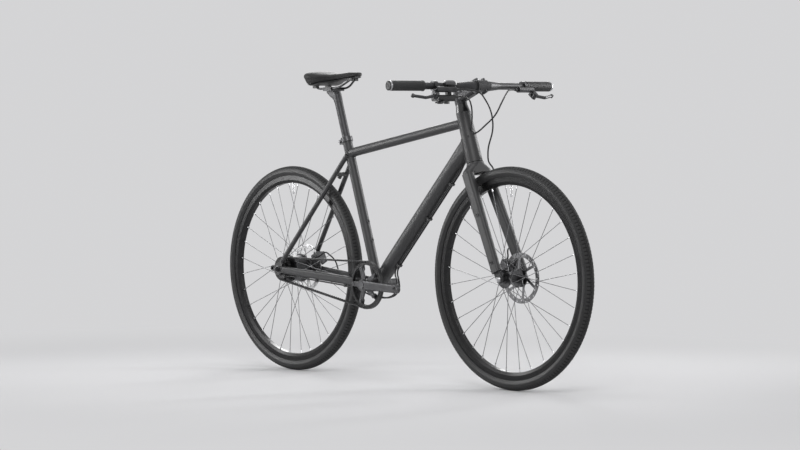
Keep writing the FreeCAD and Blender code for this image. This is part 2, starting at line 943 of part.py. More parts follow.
def rear_brake_route():
    start, way = lever_hose_exit(1)
    inside = inside_route(port_low_height, -1, 14)
    last = beside_chainstay(1, 0.7)
    entry, entry_way = caliper_hose_entry(rear_centre, rear_rotor_reach, caliper_angle_rear, 0)
    return [
        start,
        start + way * 34,
        vec(bar_centre.x + 38, 60, bar_centre.z - 48),
        vec(bar_centre.x + 28, 40, bar_centre.z - 93),
        *inside,
        *outside_route(1),
        *loop_below_bracket(1),
        bracket + vec(-10, 18, -44),
        bracket + vec(-52, 46, -22),
        beside_chainstay(1, 0.21),
        last,
        last + vec(-24, 7, 42),
        entry + entry_way * 30 + vec(0, 8, 4),
        entry + entry_way * 14,
        entry,
    ]


def shift_cable_route():
    start, way = shifter_cable_exit()
    inside = inside_route(port_high_height, 1, 0)
    end = shift_joint_entry()
    return [
        start,
        start + way * 26,
        vec(bar_centre.x + 6, -50, bar_centre.z - 42),
        vec(bar_centre.x - 14, -22, bar_centre.z - 70),
        vec(bar_centre.x - 20, -16, bar_centre.z - 106),
        *inside,
        *outside_route(-1),
        *loop_below_bracket(-1),
        bracket + vec(-6, -14, -42),
        bracket + vec(-48, -26, -24),
        beside_chainstay(-1, 0.21),
        beside_chainstay(-1, 0.72),
        end + vec(34, 0, 0),
        end,
    ]


# Rear axle, its nuts, and the hub gear's cable joint
def rear_axle():
    half = dropout_spacing / 2 + dropout_thickness + rear_axle_overhang
    radius = rear_axle_diameter / 2
    pieces = [rod(rear_centre - left * half, rear_centre + left * half, radius)]
    for hand in (1, -1):
        way = left * hand
        seat = rear_centre + way * (dropout_spacing / 2 + dropout_thickness)
        nut_foot = seat + way * axle_washer_height
        bore = radius + seat_clearance
        pieces.append(pipe(seat, nut_foot, axle_washer_diameter / 2, bore))
        corner = axle_nut_across / 2 / math.cos(math.pi / 6)
        corners = [turned_by(forward * corner, up, 60 * side) for side in range(6)]
        nut = Part.Face(Part.makePolygon(corners + corners[:1])).extrude(vec(0, 0, axle_nut_height))
        nut.Placement = placing(nut_foot, way, up)
        pieces.append(nut.cut(rod(nut_foot - way * cut_overrun, nut_foot + way * half, bore)))
    return group(pieces)


def shift_joint_entry():
    inner = belt_line + belt_width / 2 + joint_gap
    middle = (inner + dropout_spacing / 2) / 2
    return rear_centre + vec(joint_arm_length, -middle, -joint_diameter / 2)


def shift_joint():
    # A ring on the axle outside the sprocket, with an arm that stops the cable's casing.
    inner = rear_centre - left * (belt_line + belt_width / 2 + joint_gap)
    outer = rear_centre - left * (dropout_spacing / 2)
    ring = rod(inner, outer, joint_diameter / 2)
    entry = shift_joint_entry()
    thickness = (outer - inner).Length
    centre = entry - forward * (joint_arm_length / 2)
    arm = block(centre, forward, left, joint_arm_length, thickness, joint_arm_width)
    bore = rod(inner + left * cut_overrun, outer - left * cut_overrun, rear_axle_diameter / 2 + seat_clearance)
    return fused(ring, arm).cut(bore)


# Brake calipers
def caliper_frame(centre, rotor_reach, angle):
    radial = turned_by(forward, left, -angle)
    middle = centre + left * rotor_reach
    return radial, radial.cross(left), middle


def caliper_hose_entry(centre, rotor_reach, angle, end_length):
    # The hose goes in at the outer face, or at the upper end where an end length is given.
    radial, tangent, middle = caliper_frame(centre, rotor_reach, angle)
    middle_radius = (caliper_outer_radius + caliper_inner_radius) / 2
    seat = middle - left * (caliper_half_width / 2)
    if end_length:
        return seat + radial * middle_radius - tangent * (end_length / 2), tangent * -1
    return seat + radial * caliper_outer_radius, radial


def caliper(centre, rotor_reach, angle):
    # A body that straddles the rotor's edge, with a pad on each side of the rotor.
    radial, tangent, middle = caliper_frame(centre, rotor_reach, angle)
    centre_radius = (caliper_outer_radius + caliper_inner_radius) / 2
    body = bar(middle + radial * caliper_inner_radius, middle + radial * caliper_outer_radius,
               2 * caliper_half_width, caliper_length, caliper_corner, left)
    roof = rotor_diameter / 2 + caliper_slot_roof
    pad_room = rotor_thickness + 2 * (pad_thickness + free_clearance)
    slot_depth = roof - caliper_inner_radius + cut_overrun
    slot_centre = middle + radial * (roof - slot_depth / 2)
    pad_slot = block(slot_centre, radial, left, slot_depth, pad_room, pad_length)
    rotor_slot = block(slot_centre, radial, left, slot_depth, rotor_thickness + 2 * pad_thickness,
                       caliper_length + cut_overrun)
    holes = []
    for step in (-1, 1):
        spot = middle + radial * centre_radius + tangent * (step * caliper_bolt_spread / 2)
        outside = spot + left * (caliper_half_width + cut_overrun)
        inside = spot + left * (caliper_half_width + brake_tab_thickness - caliper_bolt_length - free_clearance)
        holes.append(rod(inside, outside, caliper_bolt_diameter / 2))
    body = body.cut([pad_slot, rotor_slot] + holes)
    pads = []
    pad_depth = rotor_diameter / 2 - caliper_inner_radius
    pad_radius = caliper_inner_radius + pad_depth / 2
    for hand in (1, -1):
        offset = hand * (rotor_thickness / 2 + free_clearance + pad_thickness / 2 - seat_clearance)
        pads.append(block(middle + radial * pad_radius + left * offset, radial, left, pad_depth,
                          pad_thickness, pad_length - 2 * seat_clearance))
    return group([body] + pads)


# Seatpost and saddle
post_top = bracket + seat_up * seatpost_top_height
saddle_seat = post_top + vec(-seatpost_setback, 0, seatpost_head_depth / 2)


def seatpost():
    foot = seat_top - seat_up * seatpost_insertion
    radius = seatpost_diameter / 2
    tube = pipe(foot, post_top, radius, radius - seatpost_wall)
    neck = post_top - seat_up * seatpost_head_length
    corner = seatpost_head_corner_share * seatpost_head_width
    head_low = saddle_seat - up * seatpost_head_edge
    round_corner = stay_corner_share * seatpost_diameter
    flare_foot = post_top - seat_up * seatpost_flare
    stations = [
        (neck, seat_up, seatpost_diameter - 2 * seatpost_wall, seatpost_diameter - 2 * seatpost_wall,
         stay_corner_share * (seatpost_diameter - 2 * seatpost_wall)),
    ]
    for rise_share, grow_share in zip(flare_rise_shares, flare_grow_shares):
        length = seatpost_diameter + (seatpost_head_length - seatpost_diameter) * grow_share
        spot = flare_foot + seat_up * (seatpost_flare * rise_share)
        spot = spot + forward * ((seatpost_diameter - length) / 2)
        stations.append((spot, seat_up, seatpost_diameter, length, round_corner))
    stations.append((head_low, up, seatpost_head_width, seatpost_head_length, corner))
    stations.append((saddle_seat, up, seatpost_head_width, seatpost_head_length, corner))
    return fused(tube, lofted(stations, left))


def saddle_clamp():
    # Lower and upper cradles round the rails, drawn together by two upright bolts.
    rail_line = saddle_seat + up * cradle_depth
    radius = rail_diameter / 2 + seat_clearance
    cuts = []
    for hand in (1, -1):
        spot = rail_line + left * (hand * rail_half_spread)
        cuts.append(rod(spot - forward * cradle_length, spot + forward * cradle_length, radius))
    gap = cradle_gap / 2
    low_height = cradle_depth - gap
    high_height = cradle_depth / 2
    low_centre = saddle_seat + up * (low_height / 2)
    high_centre = rail_line + up * (gap + high_height / 2)
    lower = block(low_centre, up, left, low_height, cradle_width, cradle_length)
    upper = block(high_centre, up, left, high_height, cradle_width, cradle_length)
    bolts = []
    for step in (-1, 1):
        top = rail_line + forward * (step * cradle_bolt_spread / 2) + up * (gap + high_height)
        depth = (top - saddle_seat).z
        bolts.append(bolt(top, up * -1, cradle_bolt_diameter, depth, cradle_bolt_head, cradle_bolt_head_length))
        cuts.append(rod(top + up * cut_overrun, top - up * depth, cradle_bolt_diameter / 2))
    return group([lower.cut(cuts), upper.cut(cuts)] + bolts)


def rail_end(station, half_spread):
    # Just below the shell at one of the saddle's stations.
    foot = saddle_foot(station) - seat_clearance - saddle_shell_thickness
    return vec(saddle_leaned(station, foot), half_spread, foot - rail_diameter / 2 - seat_clearance)


def rail_routes():
    routes = []
    height = saddle_seat.z + cradle_depth
    for hand in (1, -1):
        clamp_rear = vec(saddle_seat.x - rail_clamp_length / 2, hand * rail_half_spread, height)
        clamp_front = vec(saddle_seat.x + rail_clamp_length / 2, hand * rail_half_spread, height)
        rear = rail_end(saddle_station_shares.index(rail_rear_share), hand * rail_rear_half_spread)
        nose = rail_end(saddle_station_shares.index(rail_nose_share), hand * rail_nose_half_spread)
        routes.append([rear, clamp_rear, clamp_front, nose])
    return routes


def saddle_rails():
    return group([hose(route, rail_diameter / 2) for route in rail_routes()])


def saddle_place(index):
    return saddle_seat.x - saddle_rear_reach + saddle_length * saddle_station_shares[index]


def saddle_leaned(index, height):
    # The rear end leans: its foot lies ahead of its top.
    share = saddle_lean_share * (1 - saddle_station_shares[index]) ** 2
    return saddle_place(index) + share * (saddle_top(index) - height)


def saddle_station(index, inset, low, high):
    # A cross-section of the saddle: a flat foot, drawn-in sides and a crowned top.
    half = saddle_width * saddle_width_shares[index] / 2 - inset
    shoulder = high - (high - low) * saddle_crown_share
    waist = half * saddle_waist_share
    foot_x = saddle_leaned(index, low)
    side_x = saddle_leaned(index, shoulder)
    corners = [vec(foot_x, -waist, low), vec(side_x, -half, shoulder), vec(saddle_leaned(index, high), 0, high),
               vec(side_x, half, shoulder), vec(foot_x, waist, low)]
    edges = [
        Part.LineSegment(corners[0], corners[1]).toShape(),
        Part.Arc(corners[1], corners[2], corners[3]).toShape(),
        Part.LineSegment(corners[3], corners[4]).toShape(),
        Part.LineSegment(corners[4], corners[0]).toShape(),
    ]
    return Part.Wire(edges)


def saddle_top(index):
    return saddle_seat.z + saddle_rise + saddle_kick * (saddle_height_shares[index] - 1)


def saddle_foot(index):
    return saddle_top(index) - saddle_depth * saddle_depth_shares[index]


def saddle_cover():
    wires = []
    for index in range(len(saddle_station_shares)):
        wires.append(saddle_station(index, 0, saddle_foot(index), saddle_top(index)))
    return Part.makeLoft(wires, True, False)


def saddle_shell():
    # A moulded tray under the padding, with sockets for the ends of the rails.
    wires = []
    for index in range(1, len(saddle_station_shares) - 1):
        high = saddle_foot(index) - seat_clearance
        inset = saddle_shell_inset * saddle_width_shares[index]
        wires.append(saddle_station(index, inset, high - saddle_shell_thickness, high))
    tray = Part.makeLoft(wires, True, False)
    sockets = []
    rails = []
    for route in rail_routes():
        rails.append(hose(route, rail_diameter / 2 + seat_clearance))
        for end in (route[0], route[-1]):
            sockets.append(block(end, forward, left, rail_socket_length, rail_socket_width, rail_socket_depth))
    return fused(tray, *sockets).cut(rails + [saddle_cover()])


# Fork
def along_fork(distance, offset):
    # A point on the fork's middle line, measured from the axle up to the crown.
    lag = fork_rake * distance / crown_low
    return front_centre + steer_up * distance - steer_fore * lag + left * offset


crown_low = fork_length - crown_drop


def fork_crown():
    # The steerer tube and the crown that carries both blades.
    top = stem_foot + steer_up * stem_clamp_height
    steerer = rod(crown, top, steerer_radius)
    seat_size = head_tube_bottom_diameter
    foot = crown - steer_up * crown_drop
    stations = []
    for drop_share, width_share in zip(crown_drop_shares, crown_width_shares):
        width = seat_size + (crown_width - seat_size) * width_share
        depth = seat_size + (crown_depth - seat_size) * drop_share
        spot = crown - steer_up * (crown_drop * drop_share)
        stations.append((spot, steer_up, width, depth, crown_corner_share * depth))
    race = turned([(0, 0), (steerer_radius + steerer_wall, 0), (steerer_radius + steerer_wall, race_height),
                   (0, race_height)], crown, steer_up)
    bore = rod(foot - steer_up * cut_overrun, top + steer_up * cut_overrun, steerer_radius - steerer_wall)
    return fused(lofted(stations, left), race, steerer).cut(bore)


def blade_stations(hand):
    top = along_fork(crown_low, hand * blade_top_half_spread)
    bottom = along_fork(blade_end_gap, hand * blade_bottom_half_spread)
    along = top - bottom
    top_corner = blade_corner_share * blade_top_width
    bottom_corner = blade_corner_share * blade_bottom_width
    return [
        (bottom, along, blade_bottom_width, blade_bottom_depth, bottom_corner),
        (top, steer_up, blade_top_width, blade_top_depth, top_corner),
    ]


def fork_blade(hand):
    stations = blade_stations(hand)
    bottom = stations[0][0]
    top = stations[1][0]
    outer = front_centre + left * (hand * (fork_spacing + fork_dropout_thickness) / 2)
    foot = vec(bottom.x, outer.y, bottom.z)
    half = left * (fork_dropout_thickness / 2)
    plate = rod(outer - half, outer + half, fork_dropout_radius)
    rise = unit(foot - outer)
    web_length = (foot - outer).Length + fork_dropout_thickness
    web = block((outer + foot) / 2 + rise * (fork_dropout_thickness / 2), rise, left, web_length,
                fork_dropout_thickness, fork_dropout_radius * 2)
    pieces = [plate, web]
    bore = front_axle_diameter / 2 + seat_clearance
    holes = [rod(outer - half * cut_overrun, outer + half * cut_overrun, bore)]
    for share in (fork_eyelet_share, fork_low_eyelet_share):
        spot = top + (bottom - top) * share
        width = blade_top_width + (blade_bottom_width - blade_top_width) * share
        face = spot + left * (hand * (width / 2 + eyelet_height))
        pieces.append(rod(spot, face, eyelet_diameter / 2))
        depth = left * (hand * width / 2)
        holes.append(rod(face - depth, face + left * (hand * cut_overrun), eyelet_bore / 2))
    if hand > 0:
        reach = (foot - outer).Length
        pieces.append(brake_tab(front_centre, front_rotor_reach, caliper_angle_front, rise,
                                reach + blade_end_gap, fork_dropout_radius * 2))
        holes += caliper_bolt_holes(front_centre, front_rotor_reach, caliper_angle_front)
    return fused(lofted(stations, left), *pieces).cut(holes)


def headset_cover():
    # A conical cover between the head tube and the stem.
    profile = [
        (steerer_radius + seat_clearance, 0),
        (head_tube_top_diameter / 2, 0),
        (headset_cover_top_diameter / 2, headset_cover_height),
        (steerer_radius + seat_clearance, headset_cover_height),
    ]
    return turned(profile, cover_foot, steer_up)


def front_axle():
    half = fork_spacing / 2 + fork_dropout_thickness
    shaft = rod(front_centre - left * half, front_centre + left * half, front_axle_diameter / 2)
    pieces = [shaft]
    for hand in (1, -1):
        way = left * hand
        foot = front_centre + way * half
        profile = [
            (0, 0),
            (front_axle_head / 2, 0),
            (front_axle_head / 2, front_axle_head_length / 2),
            (front_axle_head / 3, front_axle_head_length),
            (0, front_axle_head_length),
        ]
        pieces.append(turned(profile, foot, way))
    return fused(pieces[0], *pieces[1:])


# Stem and handlebar
def stem():
    top = stem_foot + steer_up * stem_clamp_height
    clamp = rod(stem_foot, top, steerer_radius + stem_clamp_wall)
    corner = stem_corner_share * stem_depth
    outer = bar_clamp_diameter / 2 + bar_clamp_wall
    body = bar(stem_centre, bar_centre, stem_width, stem_depth, corner, left)
    half = left * (bar_clamp_width / 2)
    barrel = rod(bar_centre - half, bar_centre + half, outer)
    ahead = block(bar_centre + stem_along * (outer - faceplate_gap / 2), stem_along, left, 2 * outer,
                  bar_clamp_width + cut_overrun, stem_depth * 2)
    steerer_bore = rod(stem_foot - steer_up * cut_overrun, top + steer_up * cut_overrun,
                       steerer_radius + seat_clearance)
    bar_bore = rod(bar_centre - half - left * cut_overrun, bar_centre + half + left * cut_overrun,
                   bar_clamp_diameter / 2 + seat_clearance)
    return fused(clamp, body, barrel, *stem_lugs()).cut([ahead, steerer_bore, bar_bore] + stem_bolt_holes())


def stem_faceplate():
    outer = bar_clamp_diameter / 2 + bar_clamp_wall
    half = left * (bar_clamp_width / 2)
    barrel = rod(bar_centre - half, bar_centre + half, outer)
    bore = rod(bar_centre - half - left * cut_overrun, bar_centre + half + left * cut_overrun,
               bar_clamp_diameter / 2 + seat_clearance)
    behind = block(bar_centre - stem_along * (outer - faceplate_gap / 2), stem_along, left, 2 * outer,
                   bar_clamp_width + cut_overrun, stem_depth * 2)
    return fused(barrel, *stem_lugs()).cut([behind, bore] + stem_bolt_holes())


def stem_bolt_places():
    # Head faces of the four faceplate bolts and the way that each one goes in.
    stem_upward = left.cross(stem_along) * -1
    places = []
    for side in (-1, 1):
        for level in (-1, 1):
            spot = bar_centre + left * (side * stem_bolt_spread) + stem_upward * (level * stem_bolt_lift)
            places.append((spot + stem_along * stem_bolt_stand, stem_along * -1))
    return places


def stem_lugs():
    # Round lugs above and below the bar, which both halves of the clamp share.
    lugs = []
    for spot, way in stem_bolt_places():
        lugs.append(rod(spot, spot + way * (stem_bolt_stand + stem_lug_length), stem_lug_diameter / 2))
    return lugs


def stem_bolt_holes():
    holes = []
    for spot, way in stem_bolt_places():
        holes.append(rod(spot - way * cut_overrun, spot + way * stem_bolt_length, stem_bolt_diameter / 2))
        holes.append(rod(spot - way * stem_lug_length, spot, stem_bolt_head / 2 + free_clearance))
    return holes


def stem_bolts():
    pieces = []
    for spot, way in stem_bolt_places():
        pieces.append(bolt(spot, way, stem_bolt_diameter, stem_bolt_length, stem_bolt_head,
                           stem_bolt_head_length))
    top = stem_foot + steer_up * stem_clamp_height
    profile = [
        (0, -top_cap_depth),
        (steerer_radius - steerer_wall - seat_clearance, -top_cap_depth),
        (steerer_radius - steerer_wall - seat_clearance, 0),
        (steerer_radius + stem_clamp_wall / 2, 0),
        (steerer_radius + stem_clamp_wall / 2, top_cap_height),
        (0, top_cap_height),
    ]
    pieces.append(turned(profile, top, steer_up))
    for spot in caliper_bolt_spots(front_centre, front_rotor_reach, caliper_angle_front):
        face = spot + left * (brake_tab_thickness / 2)
        pieces.append(bolt(face, left * -1, caliper_bolt_diameter, caliper_bolt_length,
                           caliper_bolt_head, caliper_bolt_head_length))
    return group(pieces)


def on_bar(reach):
    # The bar's middle line: square to the stem at its clamp, then swept back a little.
    hand = 1 if reach > 0 else -1
    share = max(0, (abs(reach) - bar_bend_reach) / (bar_half_width - bar_bend_reach))
    return bar_centre + vec(-bar_sweep * share, hand * abs(reach), bar_rise * share)


def bar_way(hand):
    # The way outward along the swept part of the bar.
    return unit(on_bar(hand * bar_half_width) - on_bar(hand * bar_bend_reach))


def handlebar():
    inner_end = bar_half_width - grip_cap
    wide = bar_clamp_diameter / 2
    slim = bar_grip_diameter / 2
    clamp_edge = bar_half_width - shifter_inset - shifter_clamp_width / 2
    taper_end = bar_bend_reach + (clamp_edge - bar_bend_reach) * bar_taper_share
    half_sizes = [(0, wide), (bar_bend_reach, wide), (taper_end, slim), (inner_end, slim)]
    sizes = [(-reach, radius) for reach, radius in half_sizes[:0:-1]] + half_sizes
    solids = []
    for thinner in (0, bar_wall):
        wires = []
        for reach, radius in sizes:
            way = left
            if abs(reach) > bar_bend_reach:
                way = bar_way(1) if reach > 0 else bar_way(-1) * -1
            wires.append(Part.Wire(Part.Circle(on_bar(reach), way, radius - thinner).toShape()))
        solids.append(Part.makeLoft(wires, True, True))
    return solids[0].cut(solids[1])


def grip(hand):
    outward = bar_way(hand)
    end = on_bar(hand * bar_half_width)
    slope = abs(outward.y)
    length = grip_length / slope
    bore = bar_grip_diameter / 2 + seat_clearance
    cap = grip_cap / slope
    profile = [
        (0, 0),
        (grip_diameter / 2, 0),
        (grip_diameter / 2, length - grip_flange_length),
        (grip_flange_diameter / 2, length - grip_flange_length),
        (grip_flange_diameter / 2, length),
        (bore, length),
        (bore, cap - free_clearance),
        (0, cap - free_clearance),
    ]
    return turned(profile, end, outward * -1)


# Brake levers
def lever_reach(hand):
    return bar_half_width - (left_lever_inset if hand > 0 else right_lever_inset)


def cylinder_line(hand):
    # Where the master cylinder's middle line lies: ahead of the bar and a little below it.
    outward = bar_way(hand)
    centre = on_bar(hand * lever_reach(hand))
    ahead = unit(forward - outward * forward.dot(outward))
    offset = turned_by(ahead, left, cylinder_tilt) * cylinder_offset
    return centre + offset, outward


def lever_hose_exit(hand):
    centre, outward = cylinder_line(hand)
    end = centre - outward * (cylinder_length - cylinder_outboard + hose_nut_length)
    return end, outward * -1


def lever_pivot(hand):
    # The pivot lies ahead of and below the bar, in the plane that the lever swings in.
    outward = bar_way(hand)
    centre = on_bar(hand * lever_reach(hand)) + outward * lever_clamp_width
    ahead = unit(forward - outward * forward.dot(outward))
    reach = turned_by(ahead, left, lever_tilt)
    axis = unit(reach.cross(outward))
    return centre + reach * lever_pivot_offset, axis, reach, outward


def brake_body(hand):
    outward = bar_way(hand)
    centre = on_bar(hand * lever_reach(hand))
    half = outward * (lever_clamp_width / 2)
    bore = bar_grip_diameter / 2 + seat_clearance
    clamp = rod(centre - half, centre + half, bore + lever_clamp_wall)
    line, outward = cylinder_line(hand)
    start = line + outward * cylinder_outboard
    end = start - outward * cylinder_length
    cylinder = rod(start, end, cylinder_diameter / 2)
    nut = rod(end, end - outward * hose_nut_length, hose_nut_diameter / 2)
    arm = block((centre + line) / 2, line - centre, outward, (line - centre).Length, lever_clamp_width,
                lever_clamp_width)
    pivot, axis, reach, outward = lever_pivot(hand)
    ear_reach = lever_eye_height / 2 + free_clearance + lever_ear_thickness
    ear_length = lever_bridge_reach + lever_bridge_depth / 2
    bridge = block(pivot - reach * lever_bridge_reach, axis, outward, 2 * ear_reach, lever_eye_diameter,
                   lever_bridge_depth)
    ears = [bridge]
    for side in (1, -1):
        foot = pivot + axis * (side * (ear_reach - lever_ear_thickness))
        top = pivot + axis * (side * ear_reach)
        ears.append(rod(foot, top, lever_eye_diameter / 2))
        ears.append(block((foot + top) / 2 - reach * (ear_length / 2), reach, axis, ear_length,
                          lever_ear_thickness, lever_eye_diameter))
    pin = rod(pivot - axis * ear_reach, pivot + axis * ear_reach, lever_pivot_diameter / 2)
    room_half = axis * (lever_eye_height / 2 + free_clearance)
    room = rod(pivot - room_half, pivot + room_half, lever_eye_diameter / 2 + free_clearance)
    body = fused(clamp, cylinder, nut, arm, *ears).cut(room)
    body = fused(body, pin)
    return body.cut(rod(centre - outward * lever_clamp_width, centre + outward * lever_clamp_width, bore))


def brake_lever(hand):
    pivot, axis, reach, outward = lever_pivot(hand)
    half = axis * (lever_eye_height / 2)
    eye = rod(pivot - half, pivot + half, lever_eye_diameter / 2)
    root = pivot + outward * (lever_eye_diameter / 4)
    middle = pivot + outward * (lever_length * lever_middle_share) + reach * lever_bow
    tip = pivot + outward * lever_length
    wide = lever_root_width
    slim = lever_tip_width
    corner = lever_thickness * lever_corner_share
    stations = [
        (root, outward, wide, lever_thickness, corner),
        (middle, outward, (wide + slim) / 2, lever_thickness, corner),
        (tip, outward, slim, lever_thickness, corner),
    ]
    knob = rod(tip - axis * (slim / 2), tip + axis * (slim / 2), lever_thickness * lever_knob_share)
    shape = fused(eye, lofted(stations, axis), knob)
    return shape.cut(rod(pivot - axis * lever_length, pivot + axis * lever_length,
                         lever_pivot_diameter / 2 + running_clearance))


# Gear shifter
def pod_places():
    outward = bar_way(-1)
    clamp = on_bar(shifter_inset - bar_half_width)
    ahead = unit(forward - outward * forward.dot(outward))
    below = unit(outward.cross(ahead))
    if below.z > 0:
        below = below * -1
    centre = clamp + outward * (pod_outboard - pod_length / 2) + below * pod_drop + ahead * pod_fore
    return clamp, centre, outward, ahead, below


def shifter_cable_exit():
    centre, outward, ahead, below = pod_places()[1:]
    end = centre - outward * (pod_length / 2) - below * (pod_height / 4) + ahead * (pod_depth / 4)
    return end - outward * hose_nut_length, outward * -1


def shift_pivot(index):
    # Both levers turn below the pod on upright pins, one behind the other.
    centre, outward, ahead, below = pod_places()[1:]
    foot = centre + below * (pod_height / 2)
    step = 1 if index else -1
    return foot + outward * (step * pod_length * shift_pivot_share), below, outward, ahead


def shifter_body():
    clamp, centre, outward = pod_places()[:3]
    below = pod_places()[4]
    corner = pod_corner_share * pod_height
    half_pod = outward * (pod_length / 2)
    body = bar(centre - half_pod, centre + half_pod, pod_height, pod_depth, corner, below)
    half = outward * (shifter_clamp_width / 2)
    bar_radius = bar_grip_diameter / 2 + seat_clearance
    ring = rod(clamp - half, clamp + half, bar_radius + shifter_clamp_wall)
    neck_end = centre - outward * (pod_outboard - pod_length / 2)
    neck = block((clamp + neck_end) / 2, neck_end - clamp, outward, (neck_end - clamp).Length,
                 shifter_clamp_width, shifter_clamp_width)
    exit_end, way = shifter_cable_exit()
    barrel = rod(exit_end - way * hose_nut_length, exit_end, hose_nut_diameter / 2)
    pins = []
    for index in range(2):
        pivot, axis = shift_pivot(index)[:2]
        pins.append(rod(pivot - axis * cut_overrun, pivot + axis * shift_pin_reach, shift_pin_diameter / 2))
        pins.append(rod(pivot + axis * (shift_hub_height + 2 * shift_hub_gap), pivot + axis * shift_pin_reach,
                        shift_hub_diameter / 2))
    bore = rod(clamp - outward * shifter_clamp_width, clamp + outward * shifter_clamp_width, bar_radius)
    return fused(body, ring, neck, barrel, *pins).cut(bore)


def shift_lever(index):
    # A paddle on its pin: one for the thumb below the bar, one for the finger ahead of it.
    pivot, axis, outward, ahead = shift_pivot(index)
    foot = pivot + axis * shift_hub_gap
    top = foot + axis * shift_hub_height
    hub = rod(foot, top, shift_hub_diameter / 2)
    way = unit(ahead * (1 if index else -1) + outward * shift_lever_lean_share)
    middle = (foot + top) / 2
    tip = middle + way * shift_lever_length
    side = axis.cross(way)
    arm = bar(middle, tip, shift_lever_width, shift_hub_height, shift_hub_height * stay_corner_share, side)
    pad = rod(tip - axis * (shift_hub_height / 2), tip + axis * (shift_hub_height / 2), shift_lever_pad / 2)
    bore = rod(foot - axis * cut_overrun, top + axis * cut_overrun, shift_pin_diameter / 2 + running_clearance)
    return fused(hub, arm, pad).cut(bore)


def gear_display():
    # A domed window that sits on top of the shifter's clamp.
    clamp = pod_places()[0]
    outward, ahead, below = pod_places()[2:]
    ring = bar_grip_diameter / 2 + shifter_clamp_wall + 2 * seat_clearance
    foot = clamp - below * display_rise + ahead * display_fore
    corner = display_corner_share * display_width
    lift = below * -1
    stations = [
        (foot, lift, display_length, display_width, corner),
        (foot + lift * (display_height * display_dome_share), lift, display_length, display_width, corner),
        (foot + lift * display_height, lift, display_length * display_dome_share,
         display_width * display_dome_share, corner * display_dome_share),
    ]
    half = outward * display_length
    return lofted(stations, outward).cut(rod(clamp - half, clamp + half, ring))


def front_brake_route():
    start, way = lever_hose_exit(-1)
    entry, entry_way = caliper_hose_entry(front_centre, front_rotor_reach, caliper_angle_front, caliper_length)
    stations = blade_stations(1)
    top, bottom = stations[1][0], stations[0][0]
    beside = blade_top_width / 2 + hose_diameter / 2 + under_tube_gap
    low_beside = blade_bottom_width / 2 + hose_diameter / 2 + under_tube_gap
    return [
        start,
        start + way * 30,
        vec(bar_centre.x + 48, -44, bar_centre.z - 18),
        vec(bar_centre.x + 58, -8, bar_centre.z - 72),
        vec(bar_centre.x + 40, 20, bar_centre.z - 133),
        vec(bar_centre.x + 4, 28, bar_centre.z - 195),
        crown + vec(24, 34, 4),
        crown + vec(26, 58, -18),
        top + vec(10, beside + 6, -34),
        bottom + (top - bottom) * 0.44 + vec(-12, low_beside + 2, 0),
        bottom + (top - bottom) * 0.24 + vec(-36, low_beside, 0),
        entry + entry_way * 30 + vec(-22, 12, 8),
        entry + entry_way * 16,
        entry,
    ]


# Wheels, each made about the origin with its axle along Y
def about_axle(profile):
    # The profile lists (radius, reach) corners, with reach to the left.
    return turned(profile, vec(0, 0, 0), left)


def tyre():
    # A casing that is open towards the rim, drawn on the XY plane with X as the radius.
    centre = rim_seat_diameter / 2 + tyre_section / 2
    outer = tyre_section / 2
    inner = outer - tyre_wall
    edge = rim_edge + seat_clearance
    wide = math.sqrt(outer ** 2 - (edge - centre) ** 2)
    narrow = math.sqrt(inner ** 2 - (edge - centre) ** 2)
    corners = [vec(edge, wide, 0), vec(edge, -wide, 0), vec(edge, -narrow, 0), vec(edge, narrow, 0)]
    edges = [
        Part.Arc(corners[0], vec(centre + outer, 0, 0), corners[1]).toShape(),
        Part.LineSegment(corners[1], corners[2]).toShape(),
        Part.Arc(corners[2], vec(centre + inner, 0, 0), corners[3]).toShape(),
        Part.LineSegment(corners[3], corners[0]).toShape(),
    ]
    return Part.Face(Part.Wire(edges)).revolve(vec(0, 0, 0), left, 360)


rim_edge = rim_seat_diameter / 2 + rim_flange
rim_foot = rim_edge - rim_depth


def rim():
    outer = rim_width / 2
    inner = rim_inner_width / 2
    shoulder = rim_edge - rim_depth * rim_shoulder_share
    profile = [
        (rim_foot, -inner), (shoulder, -outer), (rim_edge, -outer), (rim_edge, -outer + rim_wall),
        (shoulder, -outer + rim_wall), (rim_foot + rim_wall, -inner + rim_wall),
        (rim_foot + rim_wall, inner - rim_wall), (shoulder, outer - rim_wall), (rim_edge, outer - rim_wall),
        (rim_edge, outer), (shoulder, outer), (rim_foot, inner),
    ]
    return about_axle(profile)


def spokes(left_flange, right_flange, flange_diameter, turn):
    # Crossed spokes, each with the nipple that draws it to the rim.
    pieces = []
    hub_radius = flange_diameter / 2 - spoke_edge
    for index in range(spoke_count):
        hand = 1 if index % 2 else -1
        lean = 1 if (index // 2) % 2 else -1
        angle = 360 * index / spoke_count + 180 / spoke_count
        flange = left_flange if hand > 0 else -right_flange
        beside = flange_thickness / 2 + spoke_diameter / 2 + spoke_stand
        hub_end = turned_by(forward * hub_radius, left, angle + lean * turn) + left * (flange + lean * beside)
        rim_end = turned_by(forward * (rim_foot - free_clearance), left, angle) + left * (hand * spoke_stagger)
        length = (rim_end - hub_end).Length
        slim = spoke_diameter / 2
        wide = nipple_diameter / 2
        profile = [
            (0, 0), (slim, 0), (slim, length - nipple_length), (wide, length - nipple_length), (wide, length),
            (0, length),
        ]
        pieces.append(turned(profile, hub_end, rim_end - hub_end))
    return group(pieces)


